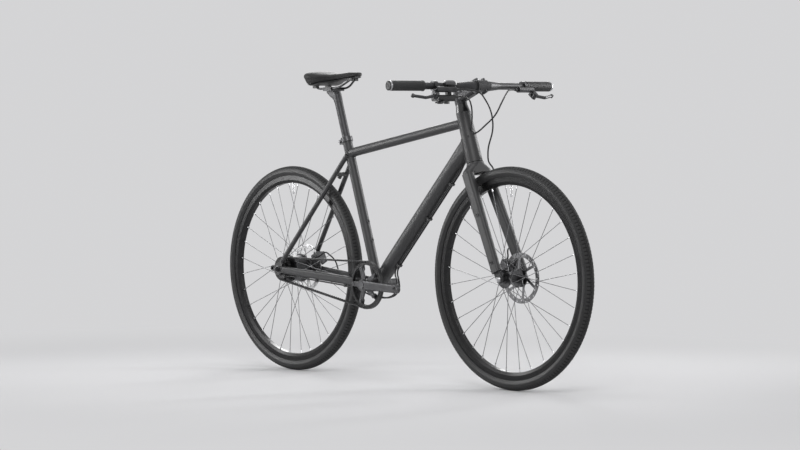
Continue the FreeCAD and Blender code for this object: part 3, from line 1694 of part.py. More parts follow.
def hub_shell(left_end, right_end, left_flange, right_flange, flange_diameter, diameter, end_diameter,
              rotor_reach, axle_diameter, right_diameter):
    half = flange_thickness / 2
    flange = flange_diameter / 2
    barrel = diameter / 2
    stub = end_diameter / 2
    boss = rotor_boss_diameter / 2
    rotor_face = rotor_reach - rotor_thickness / 2
    collar_radius = rotor_hub_diameter / 2
    collar = rotor_face - rotor_collar
    boss_end = rotor_face + rotor_thickness + rotor_lock
    neck = min(barrel, collar_radius - flange_thickness)
    profile = [
        (axle_diameter / 2 + running_clearance, -right_end), (right_diameter / 2, -right_end),
        (right_diameter / 2, -right_flange - 2 * flange_thickness),
        (barrel, -right_flange - half - flange_thickness),
        (barrel, -right_flange - half), (flange, -right_flange - half), (flange, -right_flange + half),
        (barrel, -right_flange + half), (barrel, left_flange - half), (flange, left_flange - half),
        (flange, left_flange + half), (neck, left_flange + half),
        (neck, collar), (collar_radius, collar), (collar_radius, rotor_face),
        (boss, rotor_face), (boss, boss_end), (stub, boss_end),
        (stub, left_end), (axle_diameter / 2 + running_clearance, left_end),
    ]
    return about_axle(profile)


def front_hub():
    end = fork_spacing / 2 - hub_end_gap
    return hub_shell(end, end, front_left_flange, front_right_flange, front_flange_diameter, front_hub_diameter,
                     front_hub_end_diameter, front_rotor_reach, front_axle_diameter, front_hub_end_diameter)


def rear_hub():
    left_end = dropout_spacing / 2 - hub_end_gap
    right_end = belt_line + belt_width / 2
    return hub_shell(left_end, right_end, rear_left_flange, rear_right_flange, rear_flange_diameter,
                     rear_hub_diameter, rear_hub_end_diameter, rear_rotor_reach, rear_axle_diameter,
                     driver_diameter)


def rotor(reach):
    half = left * (rotor_thickness / 2)
    outer = rotor_diameter / 2
    inner = outer - rotor_track
    middle = left * reach
    track = pipe(middle - half, middle + half, outer, inner)
    bore = rotor_boss_diameter / 2 + seat_clearance
    carrier = pipe(middle - half, middle + half, rotor_hub_diameter / 2, bore)
    start = (rotor_hub_diameter + rotor_boss_diameter) / 4
    end = inner + rotor_track / 4
    arms = []
    for index in range(rotor_arm_count):
        way = turned_by(forward, left, 360 * index / rotor_arm_count)
        lean = turned_by(forward, left, 360 * index / rotor_arm_count + rotor_arm_lean)
        foot = middle + way * start
        tip = middle + lean * end
        length = (tip - foot).Length
        arms.append(block((foot + tip) / 2, tip - foot, left, length, rotor_thickness, rotor_arm_width))
    holes = []
    for index in range(rotor_hole_count):
        spread = rotor_track / 5 if index % 2 else -rotor_track / 5
        way = turned_by(forward, left, 360 * index / rotor_hole_count)
        spot = middle + way * (outer - rotor_track / 2 + spread)
        holes.append(rod(spot - half * 2, spot + half * 2, rotor_hole_diameter / 2))
    return fused(track, carrier, *arms).cut(holes)


# Belt drive
front_pitch_radius = front_teeth * belt_pitch / math.pi / 2
rear_pitch_radius = rear_teeth * belt_pitch / math.pi / 2


def polar(centre, radius, angle):
    return centre + vec(radius * math.cos(angle), 0, radius * math.sin(angle))


def arc_edge(centre, radius, start, end):
    spots = [polar(centre, radius, angle) for angle in (start, (start + end) / 2, end)]
    return Part.Arc(*spots).toShape()


def toothed_outline(centre, teeth, pitch_radius):
    # A belt sprocket's outline: a round groove for every belt tooth.
    tip = pitch_radius - belt_tip_drop
    half = (belt_tooth_width / 2 + groove_clearance) / tip
    depth = belt_tooth_height + groove_clearance
    step = 2 * math.pi / teeth
    edges = []
    for index in range(teeth):
        angle = index * step
        sides = polar(centre, tip, angle - half), polar(centre, tip, angle + half)
        edges.append(Part.Arc(sides[0], polar(centre, tip - depth, angle), sides[1]).toShape())
        edges.append(arc_edge(centre, tip, angle + half, angle + step - half))
    return Part.Wire(edges)


def sprocket(centre, teeth, pitch_radius, bore_radius):
    inner_face = centre - left * (belt_line - belt_width / 2)
    face = Part.Face(toothed_outline(inner_face, teeth, pitch_radius))
    disc = face.extrude(left * -belt_width)
    hollow_radius = pitch_radius - belt_tip_drop - belt_tooth_height - sprocket_rim
    hollow = rod(inner_face, inner_face - left * (belt_width - sprocket_web), hollow_radius)
    bore = rod(inner_face + left * cut_overrun, inner_face - left * (belt_width + cut_overrun), bore_radius)
    if hollow_radius > bore_radius:
        return disc.cut([hollow, bore])
    return disc.cut(bore)


def arm_ways():
    # The first arm stands half a step round from the crank.
    step = 360 / arm_count
    first = crank_angle + step / 2
    return [turned_by(forward, left, -(first + index * step)) for index in range(arm_count)]


def front_sprocket():
    # A slim toothed ring with five lugs, which the spider's arms are bolted to.
    open_radius = front_pitch_radius - belt_tip_drop - belt_tooth_height - sprocket_rim
    ring = sprocket(bracket, front_teeth, front_pitch_radius, open_radius)
    outside = bracket - left * (belt_line + belt_width / 2)
    lugs = []
    holes = []
    for way in arm_ways():
        spot = outside + way * (bolt_circle / 2)
        lugs.append(rod(spot, spot + left * sprocket_web, spider_tip_width / 2))
        length = open_radius + sprocket_rim / 2 - bolt_circle / 2
        middle = spot + way * (length / 2) + left * (sprocket_web / 2)
        lugs.append(block(middle, way, left, length, sprocket_web, spider_tip_width))
        holes.append(rod(spot - left * belt_width, spot + left * belt_width, ring_bolt_diameter / 2))
    return fused(ring, *lugs).cut(holes)


def rear_sprocket():
    return sprocket(rear_centre, rear_teeth, rear_pitch_radius, driver_diameter / 2 + running_clearance)


def belt_normals():
    gap = (bracket - rear_centre).Length
    ahead = unit(bracket - rear_centre)
    above = vec(-ahead.z, 0, ahead.x)
    lean = (front_pitch_radius - rear_pitch_radius) / gap
    lift = math.sqrt(1 - lean ** 2)
    return ahead * -lean + above * lift, ahead * -lean - above * lift


def nearest_groove(angle, radius, teeth, way):
    # The angle of the last groove that holds a tooth before the belt leaves the sprocket.
    step = 2 * math.pi / teeth
    margin = step / 4 + belt_tooth_width / 2 / radius
    if way > 0:
        return math.ceil((angle + margin) / step)
    return math.floor((angle - margin) / step)


def toothed_arc(centre, radius, start, end, teeth):
    # The belt's inner face round a sprocket, going clockwise, with a tooth in every groove.
    step = 2 * math.pi / teeth
    half = belt_tooth_width / 2 / radius
    edges = []
    angle = start
    first = nearest_groove(start, radius, teeth, -1)
    last = nearest_groove(end, radius, teeth, 1)
    for index in range(first, last - 1, -1):
        middle = index * step
        edges.append(arc_edge(centre, radius, angle, middle + half))
        corners = [polar(centre, radius, middle + half), polar(centre, radius - belt_tooth_height, middle),
                   polar(centre, radius, middle - half)]
        edges.append(Part.Arc(*corners).toShape())
        angle = middle - half
    edges.append(arc_edge(centre, radius, angle, end))
    return edges


def toothed_run(start, end, inward, start_skip, end_skip):
    # The belt's inner face between the sprockets. Its teeth keep step with those in the grooves at
    # both ends, which lie a little way before the start and after the end.
    length = (end - start).Length
    total = start_skip + length + end_skip
    count = round(total / belt_pitch)
    way = unit(end - start)
    half = belt_tooth_width / 2
    edges = []
    spot = start
    for index in range(1, count):
        place = total * index / count - start_skip
        if place < half or place > length - half:
            continue
        middle = start + way * place
        root = middle - way * half
        edges.append(Part.LineSegment(spot, root).toShape())
        spot = middle + way * half
        edges.append(Part.Arc(root, middle + inward * belt_tooth_height, spot).toShape())
    edges.append(Part.LineSegment(spot, end).toShape())
    return edges


def skip(angle, radius, teeth, way):
    # The length of belt between a groove and the place where the belt leaves the sprocket.
    groove = nearest_groove(angle, radius, teeth, way) * 2 * math.pi / teeth
    return abs(angle - groove) * radius


def drive_belt():
    offset = left * -(belt_line - belt_width / 2)
    ahead = bracket + offset
    behind = rear_centre + offset
    high, low = belt_normals()
    front_radius = front_pitch_radius - belt_tip_drop + free_clearance
    rear_radius = rear_pitch_radius - belt_tip_drop + free_clearance
    high_angle = math.atan2(high.z, high.x)
    low_angle = math.atan2(low.z, low.x)
    behind_angle = high_angle - 2 * math.pi
    inner = toothed_arc(ahead, front_radius, high_angle, low_angle, front_teeth)
    inner += toothed_run(ahead + low * front_radius, behind + low * rear_radius, low * -1,
                         skip(low_angle, front_radius, front_teeth, 1),
                         skip(low_angle, rear_radius, rear_teeth, -1))
    inner += toothed_arc(behind, rear_radius, low_angle, behind_angle, rear_teeth)
    inner += toothed_run(behind + high * rear_radius, ahead + high * front_radius, high * -1,
                         skip(behind_angle, rear_radius, rear_teeth, 1),
                         skip(high_angle, front_radius, front_teeth, -1))
    wide = front_radius + belt_band
    slim = rear_radius + belt_band
    outer = [
        arc_edge(ahead, wide, high_angle, low_angle),
        Part.LineSegment(ahead + low * wide, behind + low * slim).toShape(),
        arc_edge(behind, slim, low_angle, behind_angle),
        Part.LineSegment(behind + high * slim, ahead + high * wide).toShape(),
    ]
    body = Part.Face(Part.Wire(outer)).extrude(left * -belt_width)
    return body.cut(Part.Face(Part.Wire(inner)).extrude(left * -belt_width))


# Cranks
spider_face = belt_line + belt_width / 2


def crank_arm(hand, angle):
    way = turned_by(forward, left, -angle)
    side = left * hand
    root = bracket + side * (spider_face + spider_thickness + crank_thickness / 2)
    eye = root + way * crank_length + side * crank_flare
    inner = bracket + side * (shell_half + cup_reach + crank_gap)
    boss = rod(inner, root + side * (crank_thickness / 2), crank_boss_diameter / 2)
    along = eye - root
    corner = crank_corner_share * crank_thickness
    stations = [
        (root, along, crank_thickness, crank_root_width, corner),
        (eye, along, crank_thickness, crank_tip_width, corner),
    ]
    half = side * (crank_thickness / 2)
    end = rod(eye - half, eye + half, pedal_eye_diameter / 2)
    thread = rod(eye - half * cut_overrun, eye + half * cut_overrun, pedal_thread_diameter / 2)
    cap_room = rod(root + half, root + half + side * cut_overrun, spindle_cap_diameter / 2 + free_clearance)
    return fused(boss, lofted(stations, left), end).cut([thread, cap_room]), root


def right_crank():
    # The arm, its five-armed spider and the hollow spindle pressed into it.
    arm = crank_arm(-1, crank_angle)[0]
    inner = bracket - left * spider_face
    arms = []
    holes = []
    for way in arm_ways():
        foot = inner - left * (spider_thickness / 2)
        tip = foot + way * (bolt_circle / 2)
        stations = [
            (foot, way, spider_thickness, spider_root_width, spider_thickness * crank_corner_share),
            (tip, way, spider_thickness, spider_tip_width, spider_thickness * crank_corner_share),
        ]
        arms.append(lofted(stations, left))
        half = left * (spider_thickness / 2)
        arms.append(rod(tip + half, tip - half, spider_tip_width / 2))
        holes.append(rod(tip + left * belt_width, tip - left * belt_width, ring_bolt_diameter / 2))
    spindle_end = bracket + left * (spider_face + spider_thickness + crank_thickness)
    spindle = rod(inner, spindle_end, spindle_diameter / 2)
    shape = fused(arm, *arms).cut(holes)
    hollow = rod(bracket - left * (2 * spider_face), bracket + left * (2 * spider_face),
                 spindle_diameter / 2 - spindle_wall)
    return fused(shape, spindle).cut(hollow)


def left_crank():
    arm, root = crank_arm(1, crank_angle + 180)
    bore = rod(bracket, root + left * (2 * crank_thickness), spindle_diameter / 2 + seat_clearance)
    return arm.cut(bore)


def crank_bolts():
    # Five ring bolts, and a cap in each end of the spindle.
    pieces = []
    outside = bracket - left * (spider_face + spider_thickness)
    for way in arm_ways():
        spot = outside + way * (bolt_circle / 2)
        length = spider_thickness + sprocket_web
        pieces.append(bolt(spot, left, ring_bolt_diameter, length, ring_bolt_head, ring_bolt_head_height))
    for hand in (1, -1):
        face = bracket + left * (hand * (spider_face + spider_thickness + crank_thickness))
        radius = spindle_diameter / 2 - spindle_wall - seat_clearance
        pieces.append(bolt(face, left * -hand, 2 * radius + 2 * seat_clearance, spindle_cap_depth,
                           spindle_cap_diameter, spindle_cap_depth / 2))
    return group(pieces)


os.makedirs("parts", exist_ok=True)


def save(node, shape):
    if not shape.isValid():
        print("not valid:", node)
    print(node, len(shape.Solids), "solids, volume %.0f" % shape.Volume)
    shape.exportStep("parts/" + node + ".step")


# Frame
save("head_tube", head_tube())
save("top_tube", top_tube())
save("down_tube", down_tube())
save("seat_tube", seat_tube())
save("bottom_bracket_shell", bottom_bracket_shell())
save("right_chainstay", hollow_chainstay(-1))
save("left_chainstay", hollow_chainstay(1))
save("right_seatstay", seatstay(-1))
save("left_seatstay", seatstay(1))
save("stay_bridges", stay_bridges())
save("dropouts", dropouts())
save("seat_collar", seat_collar())
save("frame_bolts", frame_bolts())
save("frame_bearings", frame_bearings())
save("hose_clips", hose_clips())
save("rear_brake_hose", hose(rear_brake_route(), hose_diameter / 2, "rear_brake_hose"))
save("shift_cable", hose(shift_cable_route(), hose_diameter / 2, "shift_cable"))
save("rear_caliper", caliper(rear_centre, rear_rotor_reach, caliper_angle_rear))
save("rear_axle", rear_axle())
save("shift_joint", shift_joint())
save("drive_belt", drive_belt())

# Seat
save("seatpost", seatpost())
save("saddle_clamp", saddle_clamp())
save("saddle_rails", saddle_rails())
save("saddle_shell", saddle_shell())
save("saddle_cover", saddle_cover())

# Steering
save("fork_crown", fork_crown())
save("right_fork_blade", fork_blade(-1))
save("left_fork_blade", fork_blade(1))
save("headset_cover", headset_cover())
save("stem", stem())
save("stem_faceplate", stem_faceplate())
save("stem_bolts", stem_bolts())
save("handlebar", handlebar())
save("grips", group([grip(-1), grip(1)]))
save("brake_bodies", group([brake_body(-1), brake_body(1)]))
save("right_brake_lever", brake_lever(-1))
save("left_brake_lever", brake_lever(1))
save("shifter_body", shifter_body())
save("upshift_lever", shift_lever(1))
save("downshift_lever", shift_lever(0))
save("gear_display", gear_display())
save("front_brake_hose", hose(front_brake_route(), hose_diameter / 2, "front_brake_hose"))
save("front_caliper", caliper(front_centre, front_rotor_reach, caliper_angle_front))
save("front_axle", front_axle())

# Wheels
save("front_tyre", tyre().translated(front_centre))
save("front_rim", rim().translated(front_centre))
front_spoke_set = spokes(front_left_flange, front_right_flange, front_flange_diameter, front_spoke_turn)
save("front_spokes", front_spoke_set.translated(front_centre))
save("front_hub", front_hub().translated(front_centre))
save("front_rotor", rotor(front_rotor_reach).translated(front_centre))
save("rear_tyre", tyre().translated(rear_centre))
save("rear_rim", rim().translated(rear_centre))
rear_spoke_set = spokes(rear_left_flange, rear_right_flange, rear_flange_diameter, rear_spoke_turn)
save("rear_spokes", rear_spoke_set.translated(rear_centre))
save("rear_hub", rear_hub().translated(rear_centre))
save("rear_rotor", rotor(rear_rotor_reach).translated(rear_centre))

# Drive
save("right_crank", right_crank())
save("left_crank", left_crank())
save("front_sprocket", front_sprocket())
save("crank_bolts", crank_bolts())
save("rear_sprocket", rear_sprocket())
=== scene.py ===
import json
import math

import bmesh
import bpy
import numpy as np
from mathutils import Matrix, Vector
from mathutils.bvhtree import BVHTree


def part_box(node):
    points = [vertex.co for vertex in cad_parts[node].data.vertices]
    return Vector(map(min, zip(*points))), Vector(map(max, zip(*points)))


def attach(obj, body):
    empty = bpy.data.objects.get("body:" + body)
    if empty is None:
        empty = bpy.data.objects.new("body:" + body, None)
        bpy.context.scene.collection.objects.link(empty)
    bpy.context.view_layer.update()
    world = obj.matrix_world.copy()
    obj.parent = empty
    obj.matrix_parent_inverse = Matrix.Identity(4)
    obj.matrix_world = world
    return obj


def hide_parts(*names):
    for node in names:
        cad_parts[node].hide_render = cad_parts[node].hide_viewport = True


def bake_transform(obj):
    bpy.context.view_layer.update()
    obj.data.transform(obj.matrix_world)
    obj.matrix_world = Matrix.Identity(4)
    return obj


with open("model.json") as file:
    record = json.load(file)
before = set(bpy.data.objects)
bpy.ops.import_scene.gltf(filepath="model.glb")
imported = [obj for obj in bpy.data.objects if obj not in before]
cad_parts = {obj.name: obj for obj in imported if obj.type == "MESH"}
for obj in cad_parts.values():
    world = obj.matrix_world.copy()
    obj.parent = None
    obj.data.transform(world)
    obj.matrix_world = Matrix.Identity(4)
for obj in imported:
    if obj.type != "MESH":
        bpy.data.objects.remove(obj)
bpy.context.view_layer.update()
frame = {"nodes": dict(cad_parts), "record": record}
cad = frame["nodes"]

# Studio: a wide pale floor that fades into a pale surround, with large soft lamps
# above and beside the bicycle. None of it belongs to the bicycle.
SURROUND = (0.66, 0.66, 0.67, 1.0)
SKY_COLOUR, SKY_STRENGTH = (0.62, 0.62, 0.63, 1.0), 0.42
PAPER_COLOUR = (0.73, 0.73, 0.74, 1.0)
FLOOR_RADIUS, FLOOR_SEGMENTS = 60.0, 96
FADE_START, FADE_END = 0.75, 2.0
FADE_SHAPE = (0.70, 1.0, 1.0)


def add_node(tree, kind, inputs=None, **settings):
    node = tree.nodes.new("ShaderNode" + kind)
    for key, value in settings.items():
        setattr(node, key, value)
    for key, value in (inputs or {}).items():
        if isinstance(value, bpy.types.NodeSocket):
            tree.links.new(value, node.inputs[key])
        else:
            node.inputs[key].default_value = value
    return node


def mesh_piece(name, points, faces, smooth=True):
    mesh = bpy.data.meshes.new(name)
    mesh.from_pydata([tuple(point) for point in points], [], faces)
    mesh.validate()
    mesh.polygons.foreach_set("use_smooth", [smooth] * len(mesh.polygons))
    piece = bpy.data.objects.new(name, mesh)
    bpy.context.scene.collection.objects.link(piece)
    return piece


def seen_rays(tree):
    # 1 for rays that show the surround to the eye, in a mirror or through a window.
    rays = add_node(tree, "LightPath")
    first = add_node(tree, "Math", {0: rays.outputs["Is Camera Ray"], 1: rays.outputs["Is Glossy Ray"]},
                     operation="MAXIMUM")
    last = add_node(tree, "Math", {0: first.outputs[0], 1: rays.outputs["Is Transmission Ray"]},
                    operation="MAXIMUM")
    return last.outputs[0]


world = bpy.data.worlds.new("studio")
world.use_nodes = True
bpy.context.scene.world = world
sky = world.node_tree
sky.nodes.clear()
sky_light = add_node(sky, "Background", {"Color": SKY_COLOUR, "Strength": SKY_STRENGTH})
sky_seen = add_node(sky, "Background", {"Color": SURROUND, "Strength": 1.0})
sky_mix = add_node(sky, "MixShader", {0: seen_rays(sky), 1: sky_light.outputs[0], 2: sky_seen.outputs[0]})
add_node(sky, "OutputWorld", {0: sky_mix.outputs[0]})

floor_rim = [(FLOOR_RADIUS * math.cos(math.tau * k / FLOOR_SEGMENTS),
              FLOOR_RADIUS * math.sin(math.tau * k / FLOOR_SEGMENTS), 0.0) for k in range(FLOOR_SEGMENTS)]
floor = mesh_piece("floor", floor_rim, [list(range(FLOOR_SEGMENTS))], smooth=False)
paper = bpy.data.materials.new("studio_paper")
paper.use_nodes = True
paper_tree = paper.node_tree
paper_tree.nodes.clear()
paper_place = add_node(paper_tree, "TexCoord").outputs["Object"]
paper_oval = add_node(paper_tree, "VectorMath", {0: paper_place, 1: FADE_SHAPE},
                      operation="MULTIPLY").outputs[0]
paper_far = add_node(paper_tree, "VectorMath", {0: paper_oval}, operation="LENGTH").outputs["Value"]
paper_fade = add_node(paper_tree, "MapRange",
                      {"Value": paper_far, "From Min": FADE_START, "From Max": FADE_END},
                      interpolation_type="SMOOTHSTEP").outputs[0]
paper_near = add_node(paper_tree, "BsdfDiffuse", {"Color": PAPER_COLOUR})
paper_lit = add_node(paper_tree, "Emission", {"Color": SURROUND, "Strength": 1.0})
paper_mix = add_node(paper_tree, "MixShader",
                     {0: paper_fade, 1: paper_near.outputs[0], 2: paper_lit.outputs[0]})
add_node(paper_tree, "OutputMaterial", {0: paper_mix.outputs[0]})
floor.data.materials.append(paper)


def soft_lamp(name, place, target, width, height, power, spread=180.0):
    lamp = bpy.data.lights.new(name, "AREA")
    lamp.shape = "RECTANGLE"
    lamp.size, lamp.size_y, lamp.energy = width, height, power
    lamp.spread = math.radians(spread)
    holder = bpy.data.objects.new(name, lamp)
    holder.location = place
    holder.rotation_euler = (Vector(target) - Vector(place)).to_track_quat("-Z", "Y").to_euler()
    bpy.context.scene.collection.objects.link(holder)


soft_lamp("key_lamp", place=(3.6, -3.4, 3.6), target=(0.0, 0.0, 0.5), width=2.6, height=1.8, power=95.0)
soft_lamp("top_lamp", place=(-0.2, 0.2, 4.2), target=(0.0, 0.0, 0.4), width=3.0, height=1.6, power=52.0)
soft_lamp("rim_lamp", place=(-3.4, 3.2, 2.6), target=(0.0, 0.0, 0.5), width=1.4, height=2.4, power=70.0)
soft_lamp("side_lamp", place=(-2.6, -3.8, 1.8), target=(-0.2, 0.0, 0.5), width=1.2, height=1.6, power=28.0)
soft_lamp("far_strip", place=(0.9, 2.9, 1.4), target=(0.2, 0.0, 1.0), width=0.5, height=1.8, power=13.0,
          spread=80.0)
soft_lamp("near_strip", place=(-2.4, -1.7, 1.4), target=(-0.1, 0.0, 1.0), width=0.4, height=1.8, power=7.0,
          spread=80.0)

# Camera: stands ahead of the bicycle and to its right, a little below bar height, with a long lens.
# Its place was worked out from the wheels, the tubes and the bar.
CAMERA_AZIMUTH, CAMERA_DISTANCE, CAMERA_HEIGHT = math.radians(48.616), 8.3899, 0.7927
CAMERA_YAW, CAMERA_PITCH, CAMERA_ROLL = math.radians(-0.0519), math.radians(-1.9567), math.radians(-0.6261)
SENSOR_WIDTH, FOCAL_PIXELS, IMAGE_WIDTH = 36.0, 2571.43, 800.0
UP = Vector((0.0, 0.0, 1.0))
lens = bpy.data.cameras.new("camera")
lens.sensor_width, lens.lens = SENSOR_WIDTH, SENSOR_WIDTH * (FOCAL_PIXELS / IMAGE_WIDTH)
camera = bpy.data.objects.new("camera", lens)
bpy.context.scene.collection.objects.link(camera)
bpy.context.scene.camera = camera
heading = CAMERA_AZIMUTH + CAMERA_YAW
look = Vector((-math.sin(heading) * math.cos(CAMERA_PITCH), math.cos(heading) * math.cos(CAMERA_PITCH),
               math.sin(CAMERA_PITCH)))
level = look.cross(UP).normalized()
above = level.cross(look)
across = level * math.cos(CAMERA_ROLL) + above * math.sin(CAMERA_ROLL)
upright = above * math.cos(CAMERA_ROLL) - level * math.sin(CAMERA_ROLL)
camera.matrix_world = Matrix.Translation((
    math.sin(CAMERA_AZIMUTH) * CAMERA_DISTANCE, -math.cos(CAMERA_AZIMUTH) * CAMERA_DISTANCE, CAMERA_HEIGHT
)) @ Matrix((across, upright, -look)).transposed().to_4x4()
bpy.context.scene.view_settings.view_transform = "Standard"

# Frame tubes: welded aluminium, sprayed with a matt anthracite coat that has a fine orange-peel grain.
# The coat varies a little from spray pass to spray pass.
NOISE_LOW, NOISE_HIGH = 0.3, 0.7
PATCH_DETAIL, GRAIN_DETAIL = 3.0, 2.0
COAT_DARK, COAT_LIGHT, COAT_ROUGH = (0.026, 0.026, 0.027), (0.035, 0.035, 0.0365), (0.40, 0.52)
PASS_SCALE, PEEL_SCALE, PEEL_DEPTH = 9.0, 900.0, 0.00003


def new_finish(name):
    finish = bpy.data.materials.new(name)
    finish.use_nodes = True
    tree = finish.node_tree
    return finish, tree, tree.nodes["Principled BSDF"], add_node(tree, "TexCoord").outputs["Object"]


def cloud(tree, place, scale, detail=PATCH_DETAIL):
    return add_node(tree, "TexNoise", {"Vector": place, "Scale": scale, "Detail": detail}).outputs["Fac"]


def shaded(tree, value, dark, light):
    ramp = add_node(tree, "ValToRGB", {0: value})
    for element, position, colour in zip(ramp.color_ramp.elements, (NOISE_LOW, NOISE_HIGH), (dark, light)):
        element.position = position
        element.color = (*colour, 1.0)
    return ramp.outputs[0]


def ranged(tree, value, low, high):
    return add_node(tree, "MapRange", {"Value": value, "From Min": NOISE_LOW, "From Max": NOISE_HIGH,
                                       "To Min": low, "To Max": high}).outputs[0]


def surfaced(tree, shader, colour, roughness):
    tree.links.new(colour, shader.inputs["Base Color"])
    tree.links.new(roughness, shader.inputs["Roughness"])


def grained(tree, shader, value, depth):
    bump = add_node(tree, "Bump", {"Height": value, "Distance": depth, "Strength": 1.0})
    tree.links.new(bump.outputs[0], shader.inputs["Normal"])


def sprayed_coat(name):
    finish, tree, shader, place = new_finish(name)
    pass_marks = cloud(tree, place, PASS_SCALE)
    peel = cloud(tree, place, PEEL_SCALE, GRAIN_DETAIL)
    surfaced(tree, shader, shaded(tree, pass_marks, COAT_DARK, COAT_LIGHT), ranged(tree, peel, *COAT_ROUGH))
    grained(tree, shader, peel, PEEL_DEPTH)
    return finish


def dress(finish, *names):
    for name in names:
        for slot in cad[name].material_slots:
            slot.material = finish


frame_coat = sprayed_coat("frame_coat")
dress(frame_coat, "head_tube", "top_tube", "down_tube", "seat_tube", "bottom_bracket_shell",
      "right_chainstay", "left_chainstay", "right_seatstay", "left_seatstay", "stay_bridges", "dropouts")

# Welds: a smoothed aluminium bead runs round each joint of the frame, under the same coat.
# Each one follows the line where the end of a tube meets its neighbour.
WELD_STEPS, WELD_SIDES, WELD_TRIES = 120, 10, 22
WELD_LOOK_BACK, WELD_LOOK_PAST, WELD_END_BAND = 0.06, 0.002, 0.004
WELD_OUTSIDE = 0.2
RIPPLE_COUNT, RIPPLE_SHARE = 40, 0.07
LEAST_SIDE = 0.1
skins = {}


def skin_of(name):
    if name not in skins:
        mesh = cad[name].data
        skins[name] = BVHTree.FromPolygons([vertex.co for vertex in mesh.vertices],
                                           [tuple(polygon.vertices) for polygon in mesh.polygons])
    return skins[name]


def middle_line(points):
    # The middle of a long piece and the way that it runs.
    spots = np.array([tuple(point) for point in points])
    middle = spots.mean(axis=0)
    way = np.linalg.svd(spots - middle, full_matrices=False)[2][0]
    return Vector(middle.tolist()), Vector(way.tolist())


def square_to(way):
    # Two directions at right angles to a way and to each other.
    side = way.cross(UP)
    if side.length < LEAST_SIDE:
        side = way.cross(Vector((1.0, 0.0, 0.0)))
    side.normalize()
    return side, way.cross(side).normalized()


def skinned(rings, closed):
    # Rings of points joined into one skin. A run that doesn't close gets end caps.
    count, sides = len(rings), len(rings[0])
    faces = []
    for k in range(count if closed else count - 1):
        after = (k + 1) % count
        for j in range(sides):
            n = (j + 1) % sides
            faces.append((k * sides + j, k * sides + n, after * sides + n, after * sides + j))
    if not closed:
        faces.append(tuple(range(sides))[::-1])
        faces.append(tuple(range((count - 1) * sides, count * sides)))
    return [point for ring in rings for point in ring], faces


def joint_line(tube, other):
    # The closed line round the tube's end that lies nearest to the other piece.
    points = [vertex.co for vertex in cad[tube].data.vertices]
    middle, way = middle_line(points)
    runs = [(point - middle).dot(way) for point in points]
    ends = []
    for sign in (1.0, -1.0):
        last = max(sign * run for run in runs)
        near = [point for point, run in zip(points, runs) if sign * run > last - WELD_END_BAND]
        ends.append((sum(skin_of(other).find_nearest(point)[3] for point in near) / len(near), sign, last))
    sign, last = min(ends)[1:]
    way = way * sign
    side, top = square_to(way)
    line = []
    for k in range(WELD_STEPS):
        angle = math.tau * k / WELD_STEPS
        out = side * math.cos(angle) + top * math.sin(angle)
        inside, beyond, spot = last - WELD_LOOK_BACK, last + WELD_LOOK_PAST, None
        for _ in range(WELD_TRIES):
            run = (inside + beyond) / 2
            hit = skin_of(tube).ray_cast(middle + way * run + out * WELD_OUTSIDE, -out)[0]
            if hit and (hit - middle).dot(out) > 0.0:
                inside, spot = run, hit
            else:
                beyond = run
        line.append(spot)
    return line


def bead(name, line, size):
    count = len(line)
    centre = sum(line, Vector()) / count
    rings = []
    for k in range(count):
        ahead = (line[(k + 1) % count] - line[k - 1]).normalized()
        out = line[k] - centre
        out = (out - ahead * out.dot(ahead)).normalized()
        over = ahead.cross(out)
        thick = size * (1.0 + RIPPLE_SHARE * math.sin(math.tau * RIPPLE_COUNT * k / count))
        rings.append([line[k] + out * (thick * math.cos(math.tau * j / WELD_SIDES))
                      + over * (thick * math.sin(math.tau * j / WELD_SIDES)) for j in range(WELD_SIDES)])
    return mesh_piece(name, *skinned(rings, closed=True))


def finished(piece, finish, body):
    piece.data.materials.clear()
    piece.data.materials.append(finish)
    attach(piece, body)


for tube, other, size in (("top_tube", "head_tube", 0.0026), ("top_tube", "seat_tube", 0.0026),
                          ("down_tube", "head_tube", 0.003), ("down_tube", "bottom_bracket_shell", 0.003),
                          ("seat_tube", "bottom_bracket_shell", 0.0028),
                          ("right_seatstay", "seat_tube", 0.0018), ("left_seatstay", "seat_tube", 0.0018),
                          ("right_chainstay", "bottom_bracket_shell", 0.0022),
                          ("left_chainstay", "bottom_bracket_shell", 0.0022)):
    weld = bead(tube + "_to_" + other + "_weld", joint_line(tube, other), size)
    finished(weld, frame_coat, "frame")

# Frame fittings: an anodised clamp round the top of the seat tube, black screws, bearing cups pressed
# into the frame, moulded guides riveted on for the lines, and the moulded joint of the shift cable.
ANODISE_PATCHES, ANODISE_GRAIN, ANODISE_DEPTH = 60.0, 1500.0, 0.000015
MOULD_PATCHES, MOULD_GRAIN, MOULD_DEPTH = 25.0, 1600.0, 0.00004


def anodised(name, dark, light, rough, metallic=0.85):
    # Metal with a thin even skin: anodised, oxidised, plated or lightly painted.
    finish, tree, shader, place = new_finish(name)
    grain = cloud(tree, place, ANODISE_GRAIN, GRAIN_DETAIL)
    colour = shaded(tree, cloud(tree, place, ANODISE_PATCHES), dark, light)
    surfaced(tree, shader, colour, ranged(tree, grain, *rough))
    grained(tree, shader, grain, ANODISE_DEPTH)
    shader.inputs["Metallic"].default_value = metallic
    return finish


def moulded(name, dark, light, rough):
    # Moulded plastic with a fine spark-eroded grain.
    finish, tree, shader, place = new_finish(name)
    grain = add_node(tree, "TexVoronoi", {"Vector": place, "Scale": MOULD_GRAIN}).outputs["Distance"]
    colour = shaded(tree, cloud(tree, place, MOULD_PATCHES), dark, light)
    surfaced(tree, shader, colour, ranged(tree, grain, *rough))
    grained(tree, shader, grain, MOULD_DEPTH)
    return finish


